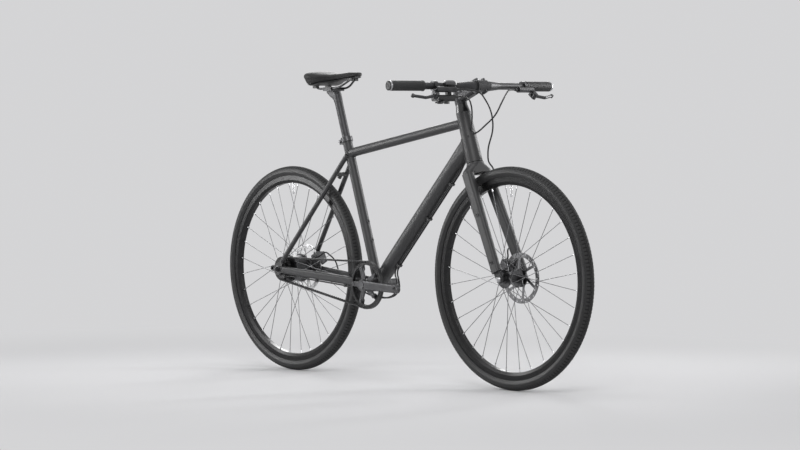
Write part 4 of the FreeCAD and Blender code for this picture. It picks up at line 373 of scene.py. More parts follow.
black_anodised = anodised("black_anodised", dark=(0.060, 0.060, 0.062), light=(0.085, 0.085, 0.088),
                          rough=(0.30, 0.42))
black_oxide = anodised("black_oxide", dark=(0.080, 0.080, 0.083), light=(0.13, 0.13, 0.135),
                       rough=(0.30, 0.45), metallic=0.9)
black_moulding = moulded("black_moulding", dark=(0.020, 0.020, 0.021), light=(0.032, 0.032, 0.033),
                         rough=(0.42, 0.58))
dress(black_anodised, "seat_collar")
dress(black_oxide, "frame_bolts", "frame_bearings")
dress(black_moulding, "hose_clips", "shift_joint")

# Fork: a one-piece looking aluminium fork with broad, slightly tapering blades, sprayed like the frame.
# Its bosses are pressed in and tapped for racks and mudguards.
dress(sprayed_coat("fork_coat"), "fork_crown", "right_fork_blade", "left_fork_blade")

# Headset cover: a turned aluminium cone with a gloss black coat. It slides onto the steerer
# between the head tube and the stem, and keeps water off the upper bearing.
GLOSS_DARK, GLOSS_LIGHT, GLOSS_ROUGH = (0.010, 0.010, 0.011), (0.016, 0.016, 0.017), (0.10, 0.18)
GLOSS_PATCHES, GLOSS_GRAIN = 30.0, 700.0
gloss, tree, shader, place = new_finish("gloss_cover")
surfaced(tree, shader, shaded(tree, cloud(tree, place, GLOSS_PATCHES), GLOSS_DARK, GLOSS_LIGHT),
         ranged(tree, cloud(tree, place, GLOSS_GRAIN, GRAIN_DETAIL), *GLOSS_ROUGH))
shader.inputs["Coat Weight"].default_value = 0.6
shader.inputs["Coat Roughness"].default_value = 0.06
dress(gloss, "headset_cover")

# Stem and handlebar: forged stem with a four-bolt faceplate on a butted aluminium bar, all black anodised.
# The bolt heads are black steel with a hexagon socket.
STEM_RISE = math.radians(22.5)
SAME_SPOT, FACE_BAND = 0.000001, 0.00005
LEAST_HEAD, MOST_HEAD = 0.0025, 0.0075
SOCKET_SIDES, SOCKET_SHARE, SOCKET_SUNK, SOCKET_PROUD = 6, 0.5, 0.0004, 0.00004


def loose_parts(name):
    # The separate solids of a node, as lists of points.
    shaped = bmesh.new()
    shaped.from_mesh(cad[name].data)
    bmesh.ops.remove_doubles(shaped, verts=shaped.verts, dist=SAME_SPOT)
    seen, parts = set(), []
    for first in shaped.verts:
        waiting = [] if first in seen else [first]
        seen.add(first)
        found = []
        while waiting:
            vertex = waiting.pop()
            found.append(vertex.co.copy())
            for edge in vertex.link_edges:
                other = edge.other_vert(vertex)
                if other not in seen:
                    seen.add(other)
                    waiting.append(other)
        if found:
            parts.append(found)
    shaped.free()
    return parts


def turned_rings(start, way, outline, segments):
    # An outline of runs and radii, turned round a way from its start.
    side, top = square_to(way)
    return [[start + way * run + side * (radius * math.cos(math.tau * j / segments))
             + top * (radius * math.sin(math.tau * j / segments)) for j in range(segments)]
            for run, radius in outline]


def joined(name, parts, smooth=True):
    points, faces = [], []
    for part_points, part_faces in parts:
        faces += [tuple(index + len(points) for index in face) for face in part_faces]
        points += part_points
    return mesh_piece(name, points, faces, smooth)


def socket_shade_pieces(name, body, node, axis):
    # A near-black hexagon on the end of each bolt's head, a hair proud of its face: painted shade standing in
    # for the shaded hexagon socket.
    out = Vector(axis)
    parts = []
    for points in loose_parts(node):
        last = max(point.dot(out) for point in points)
        face = [point for point in points if point.dot(out) > last - FACE_BAND]
        centre = sum(face, Vector()) / len(face)
        reach = max((point - centre).length for point in face)
        if LEAST_HEAD < reach < MOST_HEAD:
            outline = [(-SOCKET_SUNK, reach * SOCKET_SHARE), (SOCKET_PROUD, reach * SOCKET_SHARE)]
            parts.append(skinned(turned_rings(centre, out, outline, SOCKET_SIDES), closed=False))
    finished(joined(name, parts, smooth=False), socket_shadow, body)


bar_anodised = anodised("bar_anodised", dark=(0.044, 0.044, 0.046), light=(0.062, 0.062, 0.065),
                        rough=(0.38, 0.50), metallic=0.6)
dress(bar_anodised, "stem", "stem_faceplate", "handlebar")
dress(black_oxide, "stem_bolts")
socket_shadow = anodised("socket_shadow", dark=(0.008, 0.008, 0.0085), light=(0.014, 0.014, 0.0145),
                         rough=(0.5, 0.65), metallic=0.3)
# Painted shade: near-black hexagons where the stem bolts' sockets lie in shade.
socket_shade_pieces("stem_bolt_socket_shade", "steering", "stem_bolts",
        (math.cos(STEM_RISE), 0.0, math.sin(STEM_RISE)))

# Grips: soft rubber sleeves pushed onto the bar, finely ribbed, with a flange at the inner end
# and an aluminium ring and a plastic plug at the outer end.
GRIP_SEGMENTS, SHARP_EDGE, PLUG_EDGE = 72, 35.0, 40.0
GRIP_BORE, GRIP_RADIUS, FLANGE_RADIUS, END_RADIUS = 0.0114, 0.0159, 0.0168, 0.0160
RIB_START, RIB_PITCH, RIB_DEPTH, RIB_ROOM = 0.0080, 0.0030, 0.0004, 0.013
RIB_LAND, RIB_FALL, RIB_FLOOR = 0.6, 0.7, 0.9
FLANGE = ((0.0, GRIP_BORE), (0.0, END_RADIUS), (0.0008, FLANGE_RADIUS), (0.0042, FLANGE_RADIUS),
          (0.0050, END_RADIUS), (0.0064, 0.0156))
# Outlines of the outer end, with runs measured back from it.
SLEEVE_END = ((0.0092, GRIP_RADIUS), (0.0090, 0.0154), (0.0090, GRIP_BORE))
END_RING = ((0.0089, GRIP_BORE), (0.0089, 0.0156), (0.0083, END_RADIUS), (0.0040, END_RADIUS),
            (0.0034, 0.0156), (0.0034, GRIP_BORE))
END_PLUG = ((0.0033, 0.0112), (0.0033, 0.0153), (0.0016, 0.0150), (0.0006, 0.0138), (0.0001, 0.0110),
            (0.0001, 0.0060), (0.0006, 0.0040))
RUBBER_PATCHES, RUBBER_GRAIN, RUBBER_DEPTH, RUBBER_SHINE = 18.0, 1200.0, 0.00004, 0.35


def rubbed_rubber(name, dark, light, rough, grain_scale=RUBBER_GRAIN):
    finish, tree, shader, place = new_finish(name)
    grain = cloud(tree, place, grain_scale, GRAIN_DETAIL)
    colour = shaded(tree, cloud(tree, place, RUBBER_PATCHES), dark, light)
    surfaced(tree, shader, colour, ranged(tree, grain, *rough))
    grained(tree, shader, grain, RUBBER_DEPTH)
    shader.inputs["Specular IOR Level"].default_value = RUBBER_SHINE
    return finish


def sharpened(piece, degrees=SHARP_EDGE):
    piece.data.set_sharp_from_angle(angle=math.radians(degrees))


sleeves, end_rings, plugs = [], [], []
for hand in (-1.0, 1.0):
    own = [vertex.co for vertex in cad["grips"].data.vertices if vertex.co.y * hand > 0.0]
    middle, way = middle_line(own)
    if way.y * hand < 0.0:
        way = -way
    runs = [(point - middle).dot(way) for point in own]
    start, length = middle + way * min(runs), max(runs) - min(runs)
    outline = list(FLANGE)
    run = RIB_START
    while run < length - RIB_ROOM:
        outline += [(run, GRIP_RADIUS), (run + RIB_PITCH * RIB_LAND, GRIP_RADIUS),
                    (run + RIB_PITCH * RIB_FALL, GRIP_RADIUS - RIB_DEPTH),
                    (run + RIB_PITCH * RIB_FLOOR, GRIP_RADIUS - RIB_DEPTH)]
        run += RIB_PITCH
    outline.append((run, GRIP_RADIUS))
    for parts, inner_part, end_part in ((sleeves, outline, SLEEVE_END), (end_rings, [], END_RING),
                                        (plugs, [], END_PLUG)):
        whole = inner_part + [(length - back, radius) for back, radius in end_part]
        parts.append(skinned(turned_rings(start, way, whole, GRIP_SEGMENTS), closed=False))
grip_rubber = rubbed_rubber("grip_rubber", dark=(0.024, 0.024, 0.025), light=(0.036, 0.036, 0.037),
                            rough=(0.45, 0.6))
grip_sleeves = joined("grip_sleeves", sleeves)
sharpened(grip_sleeves)
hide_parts("grips")
finished(grip_sleeves, grip_rubber, "steering")
bright_alloy = anodised("bright_alloy", dark=(0.40, 0.40, 0.41), light=(0.50, 0.50, 0.51),
                        rough=(0.24, 0.36), metallic=1.0)
grip_rings = joined("grip_end_rings", end_rings)
sharpened(grip_rings)
finished(grip_rings, bright_alloy, "steering")
grip_plugs = joined("grip_plugs", plugs)
sharpened(grip_plugs, PLUG_EDGE)
finished(grip_plugs, black_moulding, "steering")

# Brake levers: forged aluminium bodies clamped to the bar, each with a fluid cylinder and a blade
# on a steel pin, all anodised black.
lever_anodised = anodised("lever_anodised", dark=(0.050, 0.050, 0.052), light=(0.075, 0.075, 0.078),
                          rough=(0.26, 0.38))
dress(lever_anodised, "brake_bodies", "right_brake_lever", "left_brake_lever")

# Gear shifter: a moulded pod clamped below the bar, with two glass-filled plastic levers on steel pins.
# Its gear window is smoked clear plastic, snapped into the top of the pod.
SMOKE_DARK, SMOKE_LIGHT, SMOKE_ROUGH = (0.045, 0.045, 0.048), (0.065, 0.065, 0.069), (0.06, 0.12)
SMOKE_PATCHES, SMOKE_WEAR = 45.0, 300.0
window, tree, shader, place = new_finish("smoked_window")
surfaced(tree, shader, shaded(tree, cloud(tree, place, SMOKE_PATCHES), SMOKE_DARK, SMOKE_LIGHT),
         ranged(tree, cloud(tree, place, SMOKE_WEAR), *SMOKE_ROUGH))
shader.inputs["Coat Weight"].default_value = 0.8
shader.inputs["Coat Roughness"].default_value = 0.04
dress(window, "gear_display")
dress(black_moulding, "shifter_body", "upshift_lever", "downshift_lever")

# Brake hoses and shift cable: smooth black nylon jackets. The rear hose and the cable go through ports into
# the head tube, where on the bicycle they bend as the bar turns;
# here their jackets are cut finer near the bar. The front hose turns with the fork.
JACKET_GRAIN = 500.0
LINE_STEP, LINE_BELOW, LINE_CUTS = 0.006, 0.03, (3, 1)
GROMMET_RADIUS, GROMMET_THICKNESS, GROMMET_DEPTH_SHARE = 0.0036, 0.0015, 1.6
GROMMET_STEPS, GROMMET_SIDES = 36, 12
jacket = rubbed_rubber("line_jacket", dark=(0.018, 0.018, 0.019), light=(0.026, 0.026, 0.027),
                       rough=(0.30, 0.42), grain_scale=JACKET_GRAIN)
dress(jacket, "front_brake_hose")
grommets = []
# Each line has a place just outside its port, one near its lever, and one inside the head tube.
for node, port, lever_end, inner_end in (
        ("rear_brake_hose", (0.3715, 0.0157, 0.8060), (0.4160, 0.1220, 0.9388), (0.3613, -0.0112, 0.7948)),
        ("shift_cable", (0.3681, -0.0157, 0.8165), (0.4096, -0.0920, 0.9172), (0.3579, 0.0112, 0.8053))):
    mesh = cad[node].data.copy()
    shaped = bmesh.new()
    shaped.from_mesh(mesh)
    low = min(port[2], lever_end[2]) - LINE_BELOW
    for cuts in LINE_CUTS:
        long_edges = [edge for edge in shaped.edges if edge.calc_length() > LINE_STEP
                      and max(end.co.z for end in edge.verts) > low]
        bmesh.ops.subdivide_edges(shaped, edges=long_edges, cuts=cuts, use_grid_fill=True)
    shaped.to_mesh(mesh)
    shaped.free()
    line = bpy.data.objects.new(node + "_jacket", mesh)
    bpy.context.scene.collection.objects.link(line)
    mesh.polygons.foreach_set("use_smooth", [True] * len(mesh.polygons))
    mesh.materials.clear()
    mesh.materials.append(jacket)
    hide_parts(node)
    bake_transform(line)
    way = (Vector(inner_end) - Vector(port)).normalized()
    hole = skin_of("head_tube").ray_cast(Vector(port), way)[0]
    side, top = square_to(way)
    rings = []
    for k in range(GROMMET_STEPS):
        out = side * math.cos(math.tau * k / GROMMET_STEPS) + top * math.sin(math.tau * k / GROMMET_STEPS)
        ring = []
        for j in range(GROMMET_SIDES):
            angle = math.tau * j / GROMMET_SIDES
            ring.append(hole + out * (GROMMET_RADIUS + GROMMET_THICKNESS * math.cos(angle))
                        + way * (GROMMET_THICKNESS * GROMMET_DEPTH_SHARE * math.sin(angle)))
        rings.append(ring)
    grommets.append(skinned(rings, closed=True))
finished(joined("port_grommets", grommets), black_moulding, "frame")

# Disc brakes: black anodised calipers bolted to the frame and the fork, and ground stainless rotors.
# The rotors keep the fine rings of their grinding.
GRIND_SCALE, GRIND_PATCHES, GRIND_DEPTH = 2400.0, 50.0, 0.00002
joint_places = {joint["name"]: joint.get("pos_m") for joint in frame["record"]["behaviour"]["joints"]}
front_axle, rear_axle = joint_places["front_wheel_spin"], joint_places["rear_wheel_spin"]


def axle_rings(tree, place, axle):
    # The radius about an axle along Y, and fine rings at that radius.
    moved = add_node(tree, "VectorMath", {0: place, 1: axle}, operation="SUBTRACT").outputs[0]
    flat = add_node(tree, "VectorMath", {0: moved, 1: (1.0, 0.0, 1.0)}, operation="MULTIPLY").outputs[0]
    radius = add_node(tree, "VectorMath", {0: flat}, operation="LENGTH").outputs["Value"]
    rings = add_node(tree, "TexNoise", {"W": radius, "Scale": GRIND_SCALE, "Detail": GRAIN_DETAIL},
                     noise_dimensions="1D").outputs["Fac"]
    return radius, rings


def ringed_metal(name, dark, light, rough, axle, metallic=1.0):
    # Metal that was turned or ground round an axle.
    finish, tree, shader, place = new_finish(name)
    rings = axle_rings(tree, place, axle)[1]
    colour = shaded(tree, cloud(tree, place, GRIND_PATCHES), dark, light)
    surfaced(tree, shader, colour, ranged(tree, rings, *rough))
    grained(tree, shader, rings, GRIND_DEPTH)
    shader.inputs["Metallic"].default_value = metallic
    return finish


dress(black_anodised, "front_caliper", "rear_caliper")
# The two rotors are one ground steel in a shaded and a lit copy: the front is painted darker as painted
# shade, the rear lighter as painted light.
dress(ringed_metal("front_rotor_steel_painted_shade", dark=(0.20, 0.20, 0.205), light=(0.27, 0.27, 0.275),
                   rough=(0.26, 0.40), axle=front_axle), "front_rotor")
dress(ringed_metal("rear_rotor_steel_painted_light", dark=(0.42, 0.42, 0.425), light=(0.52, 0.52, 0.525),
                   rough=(0.24, 0.38), axle=rear_axle), "rear_rotor")

# Wheels: black anodised double-wall rims, dark stainless spokes with bright plated nipples, turned hubs on
# steel axles, and a silver valve through each rim between two spokes.
SPOKE_TONE, NIPPLE_TONE, SPOKE_ROUGH = (0.17, 0.17, 0.175, 1.0), (0.72, 0.72, 0.73, 1.0), (0.24, 0.36)
NIPPLE_REACH, NIPPLE_FADE = 0.0100, 0.0005
SPOKE_END_BAND, SPOKE_GAP = 0.004, 0.1
VALVE_SEGMENTS = 20
VALVE = ((-0.002, 0.0030), (-0.002, 0.0052), (0.0022, 0.0052), (0.0026, 0.0048), (0.0026, 0.0030),
         (0.0250, 0.0030), (0.0250, 0.0026), (0.0262, 0.0026), (0.0262, 0.0033), (0.0280, 0.0035),
         (0.0370, 0.0031), (0.0384, 0.0022))
zinc = anodised("zinc_plate", dark=(0.40, 0.40, 0.41), light=(0.52, 0.52, 0.53), rough=(0.25, 0.4),
                metallic=1.0)
dress(zinc, "front_axle")
dress(black_oxide, "rear_axle")
valve_nickel = anodised("valve_nickel", dark=(0.66, 0.66, 0.67), light=(0.78, 0.78, 0.79),
                        rough=(0.20, 0.30), metallic=1.0)
rim_anodised = anodised("rim_anodised", dark=(0.012, 0.012, 0.0125), light=(0.020, 0.020, 0.0205),
                        rough=(0.22, 0.32), metallic=0.6)
dress(rim_anodised, "front_rim", "rear_rim")


def radius_about(axle, point):
    return math.hypot(point.x - axle[0], point.z - axle[2])


def spoke_finish(name, axle, rim_radius):
    # Dark drawn steel, bright where the nipples hold the spokes.
    finish, tree, shader, place = new_finish(name)
    radius, rings = axle_rings(tree, place, axle)
    nipple = add_node(tree, "MapRange", {"Value": radius, "From Min": rim_radius - NIPPLE_REACH - NIPPLE_FADE,
                                         "From Max": rim_radius - NIPPLE_REACH}).outputs[0]
    tone = add_node(tree, "ValToRGB", {0: nipple})
    tone.color_ramp.elements[0].color = SPOKE_TONE
    tone.color_ramp.elements[1].color = NIPPLE_TONE
    surfaced(tree, shader, tone.outputs[0], ranged(tree, rings, *SPOKE_ROUGH))
    grained(tree, shader, rings, GRIND_DEPTH)
    shader.inputs["Metallic"].default_value = 1.0
    return finish


for end, axle in (("front", front_axle), ("rear", rear_axle)):
    dress(ringed_metal(end + "_hub_alloy", dark=(0.060, 0.060, 0.062), light=(0.095, 0.095, 0.098),
                       rough=(0.28, 0.42), axle=axle, metallic=0.9), end + "_hub")
    rim_radius = min(radius_about(axle, vertex.co) for vertex in cad[end + "_rim"].data.vertices)
    dress(spoke_finish(end + "_spoke_steel", axle, rim_radius), end + "_spokes")
    spots = sorted(math.atan2(vertex.co.z - axle[2], vertex.co.x - axle[0]) % math.tau
                   for vertex in cad[end + "_spokes"].data.vertices
                   if radius_about(axle, vertex.co) > rim_radius - SPOKE_END_BAND)
    gaps = [(after + before) / 2 for before, after in zip(spots, spots[1:]) if after - before > SPOKE_GAP]
    angle = min(gaps, key=lambda spot: abs(spot - math.pi / 2))
    out = Vector((math.cos(angle), 0.0, math.sin(angle)))
    root = Vector(axle) + out * rim_radius
    rings = turned_rings(root, -out, VALVE, VALVE_SEGMENTS)
    valve = mesh_piece(end + "_valve", *skinned(rings, closed=False))
    sharpened(valve)
    finished(valve, valve_nickel, end + "_wheel")

# Tyres: black rubber on a cord casing. Fine file tread in the middle, two grooves round each half,
# rows of shoulder blocks, and a thin moulded line round each sidewall.
TYRE_PITCHES, PITCH_STEPS, INNER_STEPS = 183, 4, 8
TYRE_CENTRE, TYRE_OUTER, TYRE_INNER = 0.330, 0.0190, 0.0166
# Reaches are measured across the tyre from its middle.
INNER_GROOVE, OUTER_GROOVE, GROOVE_DEPTH = (0.0022, 0.0029), (0.0081, 0.0088), 0.0010
FILE_BAND, FILE_MIDDLE, FILE_DEPTH = (0.0031, 0.0079), 0.0051, 0.0008
SHOULDER_BAND, SHOULDER_DEPTH = (0.0090, 0.0158), 0.0011
TREAD_REACHES = (0.0020, *INNER_GROOVE, FILE_BAND[0], 0.0050, 0.0052, FILE_BAND[1], *OUTER_GROOVE,
                 SHOULDER_BAND[0], 0.0110, 0.0132, 0.0150, SHOULDER_BAND[1], 0.0160)
TREAD_ANGLE, BLOCK_EDGE = 1.02, 28.0
SIDE_ANGLES = (62.0, 68.0, 72.5, 73.3, 74.7, 75.5, 84.0, 93.0, 102.0)
SIDE_LINE, SIDE_STEP, BEAD_ROOM = (math.radians(73.0), math.radians(75.0)), 0.0003, 0.04
WALL_TOP, WALL_BOTTOM = 0.0104, 0.0098
# Painted shade in the tyre's cuts: near-black from the deeper depth inwards, none above the shallower one.
GROOVE_SHADE_FULL_DEPTH, GROOVE_SHADE_NONE_DEPTH = 0.0007, 0.0002
GROOVE_PAINTED_SHADE = (0.004, 0.004, 0.0042, 1.0)
TREAD_DARK, TREAD_LIGHT = (0.026, 0.026, 0.0265), (0.036, 0.036, 0.0365)
WALL_DARK, WALL_LIGHT = (0.018, 0.018, 0.0185), (0.026, 0.026, 0.0265)
TREAD_ROUGH, WALL_ROUGH, DUST_ROUGH, DUST_SCALE = 0.74, 0.42, 0.05, 120.0


def within(band, reach):
    return band[0] <= reach <= band[1]


def tread_depth(reach, side, step):
    # How far the tread is cut in at one spot, by its reach from the middle and its step round the tyre.
    part = step % PITCH_STEPS
    if within(INNER_GROOVE, reach) or within(OUTER_GROOVE, reach):
        return GROOVE_DEPTH
    if within(FILE_BAND, reach):
        return FILE_DEPTH if part == (0 if (reach < FILE_MIDDLE) == (side > 0) else 2) else 0.0
    if within(SHOULDER_BAND, reach):
        return SHOULDER_DEPTH if part == (2 if side > 0 else 0) else 0.0
    return 0.0


def tyre_finish(name, axle):
    # Dull scuffed tread with painted shade in its grooves and cuts, coloured near-black, and smoother
    # sidewalls with a little sheen.
    finish, tree, shader, place = new_finish(name)
    radius, rings = axle_rings(tree, place, axle)
    wall = add_node(tree, "MapRange", {"Value": radius, "From Min": TYRE_CENTRE + WALL_TOP,
                                       "From Max": TYRE_CENTRE + WALL_BOTTOM}).outputs[0]
    dust = cloud(tree, place, DUST_SCALE)
    parts = add_node(tree, "SeparateXYZ", {0: place})
    rise = add_node(tree, "Math", {0: radius, 1: TYRE_CENTRE}, operation="SUBTRACT").outputs[0]
    across = add_node(tree, "CombineXYZ", {0: rise, 1: parts.outputs[1]}).outputs[0]
    lift = add_node(tree, "VectorMath", {0: across}, operation="LENGTH").outputs["Value"]
    groove_shade_mask = add_node(tree, "MapRange", {"Value": lift, "From Min": TYRE_OUTER - GROOVE_SHADE_FULL_DEPTH,
                                       "From Max": TYRE_OUTER - GROOVE_SHADE_NONE_DEPTH}).outputs[0]
    scuffed = shaded(tree, dust, TREAD_DARK, TREAD_LIGHT)
    # Painted shade: the cut-in rubber of the grooves and tread cuts is mixed to near-black.
    tread = add_node(tree, "MixRGB", {0: groove_shade_mask, 1: GROOVE_PAINTED_SHADE, 2: scuffed}).outputs[0]
    walls = shaded(tree, dust, WALL_DARK, WALL_LIGHT)
    colour = add_node(tree, "MixRGB", {0: wall, 1: tread, 2: walls}).outputs[0]
    rough = add_node(tree, "MapRange",
                     {"Value": wall, "To Min": TREAD_ROUGH, "To Max": WALL_ROUGH}).outputs[0]
    dusty = ranged(tree, dust, -DUST_ROUGH, DUST_ROUGH)
    surfaced(tree, shader, colour, add_node(tree, "Math", {0: rough, 1: dusty}, operation="ADD").outputs[0])
    grained(tree, shader, rings, GRIND_DEPTH)
    shader.inputs["Specular IOR Level"].default_value = RUBBER_SHINE
    return finish


for end, axle in (("front", front_axle), ("rear", rear_axle)):
    seat = min(radius_about(axle, vertex.co) for vertex in cad[end + "_tyre"].data.vertices)
    last = math.acos((seat - TYRE_CENTRE) / TYRE_OUTER)
    half = [math.asin(reach / TYRE_OUTER) for reach in TREAD_REACHES]
    half += [math.radians(angle) for angle in SIDE_ANGLES if math.radians(angle) < last - BEAD_ROOM] + [last]
    outer = [(-angle, -1.0) for angle in reversed(half)] + [(0.0, 0.0)] + [(angle, 1.0) for angle in half]
    inner_last = math.acos((seat - TYRE_CENTRE) / TYRE_INNER)
    inner = [inner_last * (1.0 - 2.0 * k / INNER_STEPS) for k in range(INNER_STEPS + 1)]
    rings = []
    for step in range(TYRE_PITCHES * PITCH_STEPS):
        turn = math.tau * step / (TYRE_PITCHES * PITCH_STEPS)
        out = Vector((math.cos(turn), 0.0, math.sin(turn)))
        section = []
        for angle, side in outer:
            size = abs(angle)
            if size < TREAD_ANGLE:
                lift = TYRE_OUTER - tread_depth(TYRE_OUTER * math.sin(size), side, step)
            else:
                lift = TYRE_OUTER if SIDE_LINE[0] < size < SIDE_LINE[1] else TYRE_OUTER - SIDE_STEP
            section.append((angle, lift))
        section += [(angle, TYRE_INNER) for angle in inner]
        rings.append([Vector(axle) + out * (TYRE_CENTRE + lift * math.cos(angle))
                      + Vector((0.0, lift * math.sin(angle), 0.0)) for angle, lift in section])
    tyre = mesh_piece(end + "_tyre_tread", *skinned(rings, closed=True))
    sharpened(tyre, BLOCK_EDGE)
    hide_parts(end + "_tyre")
    finished(tyre, tyre_finish(end + "_tyre_rubber", axle), end + "_wheel")

# Crankset and belt: forged satin black cranks on a hollow spindle, a black toothed ring bolted to a
# five-armed spider, a smaller toothed ring on the hub, and a carbon-corded rubber belt.
crank_satin = anodised("crank_satin", dark=(0.062, 0.062, 0.064), light=(0.084, 0.084, 0.087),
                       rough=(0.30, 0.42), metallic=0.8)
dress(crank_satin, "right_crank", "left_crank")
ring_black = anodised("ring_black", dark=(0.014, 0.014, 0.0145), light=(0.024, 0.024, 0.0245),
                      rough=(0.32, 0.44), metallic=0.5)
dress(ring_black, "front_sprocket", "rear_sprocket")
dress(black_oxide, "crank_bolts")
# Painted shade: near-black hexagons where the ring bolts' sockets lie in shade.
socket_shade_pieces("ring_bolt_socket_shade", "crankset", "crank_bolts", (0.0, -1.0, 0.0))
belt_rubber = rubbed_rubber("belt_rubber", dark=(0.020, 0.020, 0.021), light=(0.030, 0.030, 0.031),
                            rough=(0.45, 0.6))
dress(belt_rubber, "drive_belt")

# Seatpost and saddle frame: an anodised post with a bolted cradle, black steel rails,
# and a moulded shell that carries the padding.
rail_paint = anodised("rail_paint", dark=(0.050, 0.050, 0.052), light=(0.075, 0.075, 0.078),
                      rough=(0.25, 0.38), metallic=0.7)
dress(bar_anodised, "seatpost", "saddle_clamp")
dress(rail_paint, "saddle_rails")
dress(black_moulding, "saddle_shell")

# Saddle: foam padding under a taut synthetic leather skin, bonded to the shell, wide at the back
# with a slim nose. A stitched seam curves along each side.
SADDLE_STATIONS, SADDLE_SIDES = 72, 64
STATION_SHARES = (0.0, 0.07, 0.13, 0.2, 0.36, 0.52, 0.68, 0.86, 0.97, 1.0)
WIDTH_SHARES = (0.5, 0.86, 0.96, 1.0, 0.86, 0.55, 0.37, 0.3, 0.23, 0.13)
HEIGHT_SHARES = (0.5, 0.96, 1.0, 1.0, 0.55, 0.25, 0.35, 0.6, 0.5, 0.1)
DEPTH_SHARES = (0.6, 0.95, 1.0, 1.0, 0.72, 0.5, 0.42, 0.38, 0.3, 0.18)
SADDLE_KICK, SADDLE_DEPTH, SADDLE_LEAN = 0.012, 0.042, 0.42
REAR_ROUND, REAR_DRAW, NOSE_ROUND, NOSE_DRAW, DRAW_HEIGHT = 0.035, 0.62, 0.03, 0.45, 0.55
SECTION = ((0.0, 0.0), (0.55, 0.0), (0.80, 0.005), (0.875, 0.06), (0.93, 0.30), (0.975, 0.48), (0.985, 0.62),
           (0.93, 0.76), (0.78, 0.89), (0.52, 0.965), (0.25, 0.992), (0.0, 1.0))
SECTION_STEPS, SECTION_ASPECT = 12, 1.4
SEAM_SHARE, SEAM_OUTSIDE, SEAM_DIP = 0.40, 0.85, 0.0009
SKIN_DARK, SKIN_LIGHT, SKIN_ROUGH = (0.012, 0.012, 0.0125), (0.020, 0.020, 0.0205), (0.52, 0.66)
SKIN_PATCHES, PORE_SCALE, PORE_DEPTH, SKIN_SHINE = 14.0, 850.0, 0.00005, 0.3
STITCH_PITCH, STITCH_LENGTH, STITCH_RADIUS, STITCH_SIDES = 0.0046, 0.0030, 0.00042, 6
STITCH_TIP, STITCH_TAPER = STITCH_RADIUS * 0.4, STITCH_LENGTH * 0.2
STITCH = ((0.0, STITCH_TIP), (STITCH_TAPER, STITCH_RADIUS), (STITCH_LENGTH - STITCH_TAPER, STITCH_RADIUS),
          (STITCH_LENGTH, STITCH_TIP))
ROW_OFFSET, STITCH_PROUD, BARE_REAR, BARE_NOSE = 0.0016, 0.0001, 6, 4
THREAD_DARK, THREAD_LIGHT, THREAD_ROUGH = (0.05, 0.05, 0.051), (0.09, 0.09, 0.092), (0.55, 0.7)
TWIST_SCALE = 2500.0
ROUNDING = 1e-9
cover_low, cover_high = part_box("saddle_cover")
cover_length, cover_width = cover_high[0] - cover_low[0], cover_high[1] - cover_low[1]


def smooth_share(shares, spot):
    # A smooth curve through the shares at the stations.
    k = max(index for index in range(len(STATION_SHARES) - 1) if STATION_SHARES[index] <= spot + ROUNDING)

    def rise(index):
        return (shares[index + 1] - shares[index]) / (STATION_SHARES[index + 1] - STATION_SHARES[index])

    def slope(index):
        if index in (0, len(shares) - 1):
            return rise(min(index, len(shares) - 2))
        before, after = rise(index - 1), rise(index)
        return 0.0 if before * after <= 0.0 else 2.0 * before * after / (before + after)

    gap = STATION_SHARES[k + 1] - STATION_SHARES[k]
    t = (spot - STATION_SHARES[k]) / gap
    return ((2 * t ** 3 - 3 * t ** 2 + 1) * shares[k] + (t ** 3 - 2 * t ** 2 + t) * gap * slope(k)
            + (3 * t ** 2 - 2 * t ** 3) * shares[k + 1] + (t ** 3 - t ** 2) * gap * slope(k + 1))


def curve_between(a, b, c, d, t):
    # A smooth curve from b to c that heads away from a and towards d.
    return 0.5 * (2 * b + (c - a) * t + (2 * a - 5 * b + 4 * c - d) * t ** 2
                  + (3 * b - a - 3 * c + d) * t ** 3)


def saddle_section(count):
    # Half of a cross-section, from the middle of the foot round to the middle of the top, evenly spaced.
    fine = []
    for k in range(len(SECTION) - 1):
        spots = (SECTION[max(k - 1, 0)], SECTION[k], SECTION[k + 1], SECTION[min(k + 2, len(SECTION) - 1)])
        for j in range(SECTION_STEPS):
            fine.append(tuple(curve_between(*values, j / SECTION_STEPS) for values in zip(*spots)))
    fine.append(SECTION[-1])
    runs = [0.0]
    for before, after in zip(fine, fine[1:]):
        runs.append(runs[-1] + math.hypot((after[0] - before[0]) * SECTION_ASPECT, after[1] - before[1]))
    half = []
    for k in range(count + 1):
        run = runs[-1] * k / count
        j = min(max(index for index, value in enumerate(runs) if value <= run + ROUNDING), len(fine) - 2)
        t = (run - runs[j]) / (runs[j + 1] - runs[j])
        half.append(tuple(fine[j][i] + (fine[j + 1][i] - fine[j][i]) * t for i in (0, 1)))
    return half


def drawn_in(least, share):
    # How much of its full size an end keeps, rounding off from all of it to the least share.
    return least + (1.0 - least) * math.sqrt(1.0 - (1.0 - min(1.0, share)) ** 2)


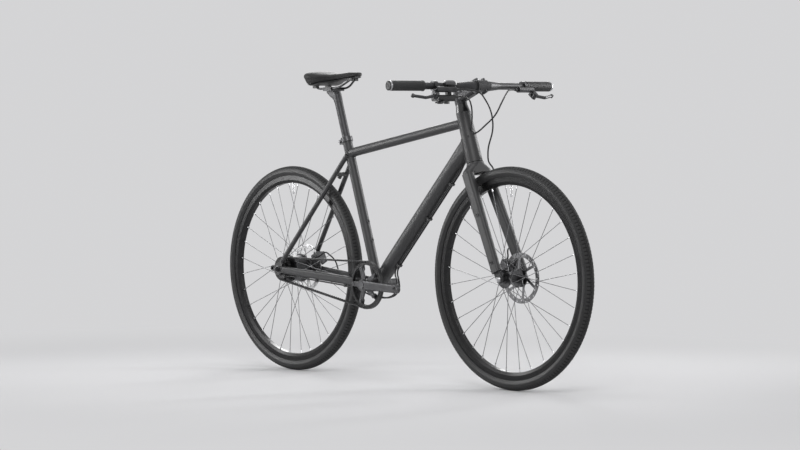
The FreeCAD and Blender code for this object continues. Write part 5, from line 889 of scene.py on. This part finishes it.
half_section = saddle_section(SADDLE_SIDES // 2)
seam_index = min(range(len(half_section)), key=lambda k: abs(half_section[k][1] - SEAM_SHARE)
                 if half_section[k][0] > SEAM_OUTSIDE else 1.0)
rings, seam_spots = [], {1.0: [], -1.0: []}
for k in range(SADDLE_STATIONS + 1):
    share = 0.5 - 0.5 * math.cos(math.pi * k / SADDLE_STATIONS)
    half = cover_width / 2 * smooth_share(WIDTH_SHARES, share)
    top = cover_high[2] + SADDLE_KICK * (smooth_share(HEIGHT_SHARES, share) - 1.0)
    depth = SADDLE_DEPTH * smooth_share(DEPTH_SHARES, share)
    low = top - depth
    draw = drawn_in(REAR_DRAW, share / REAR_ROUND) * drawn_in(NOSE_DRAW, (1.0 - share) / NOSE_ROUND)
    middle = low + depth * DRAW_HEIGHT
    ring = []
    for j in range(SADDLE_SIDES):
        side = 1.0 if j <= SADDLE_SIDES // 2 else -1.0
        index = j if j <= SADDLE_SIDES // 2 else SADDLE_SIDES - j
        across, rise = half_section[index]
        spot = Vector((cover_low[0] + cover_length * share, side * half * across * draw,
                       middle + (low + depth * rise - middle) * draw))
        spot.x += SADDLE_LEAN * (1.0 - share) ** 2 * (top - spot.z)
        if index == seam_index:
            seam_spots[side].append(spot.copy())
            spot.y -= side * SEAM_DIP
        ring.append(spot)
    rings.append(ring)
saddle = mesh_piece("saddle_padding", *skinned(rings, closed=False))
skin, tree, shader, place = new_finish("saddle_skin")
pores = add_node(tree, "TexVoronoi", {"Vector": place, "Scale": PORE_SCALE}).outputs["Distance"]
surfaced(tree, shader, shaded(tree, cloud(tree, place, SKIN_PATCHES), SKIN_DARK, SKIN_LIGHT),
         ranged(tree, pores, *SKIN_ROUGH))
grained(tree, shader, pores, PORE_DEPTH)
shader.inputs["Specular IOR Level"].default_value = SKIN_SHINE
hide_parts("saddle_cover")
finished(saddle, skin, "seat")
stitches = []
for side in (1.0, -1.0):
    for lift in (ROW_OFFSET, -ROW_OFFSET):
        run = 0.0
        spots = [spot + Vector((0.0, 0.0, lift)) for spot in seam_spots[side][BARE_REAR:-BARE_NOSE]]
        for before, after in zip(spots, spots[1:]):
            step = (after - before).length
            while run < step:
                way = (after - before).normalized()
                start = before + way * run + Vector((0.0, side * STITCH_PROUD, 0.0))
                stitches.append(skinned(turned_rings(start, way, STITCH, STITCH_SIDES), closed=False))
                run += STITCH_PITCH
            run -= step
stitching = joined("saddle_stitching", stitches)
thread, tree, shader, place = new_finish("thread")
twist = cloud(tree, place, TWIST_SCALE, GRAIN_DETAIL)
surfaced(tree, shader, shaded(tree, twist, THREAD_DARK, THREAD_LIGHT), ranged(tree, twist, *THREAD_ROUGH))
finished(stitching, thread, "seat")
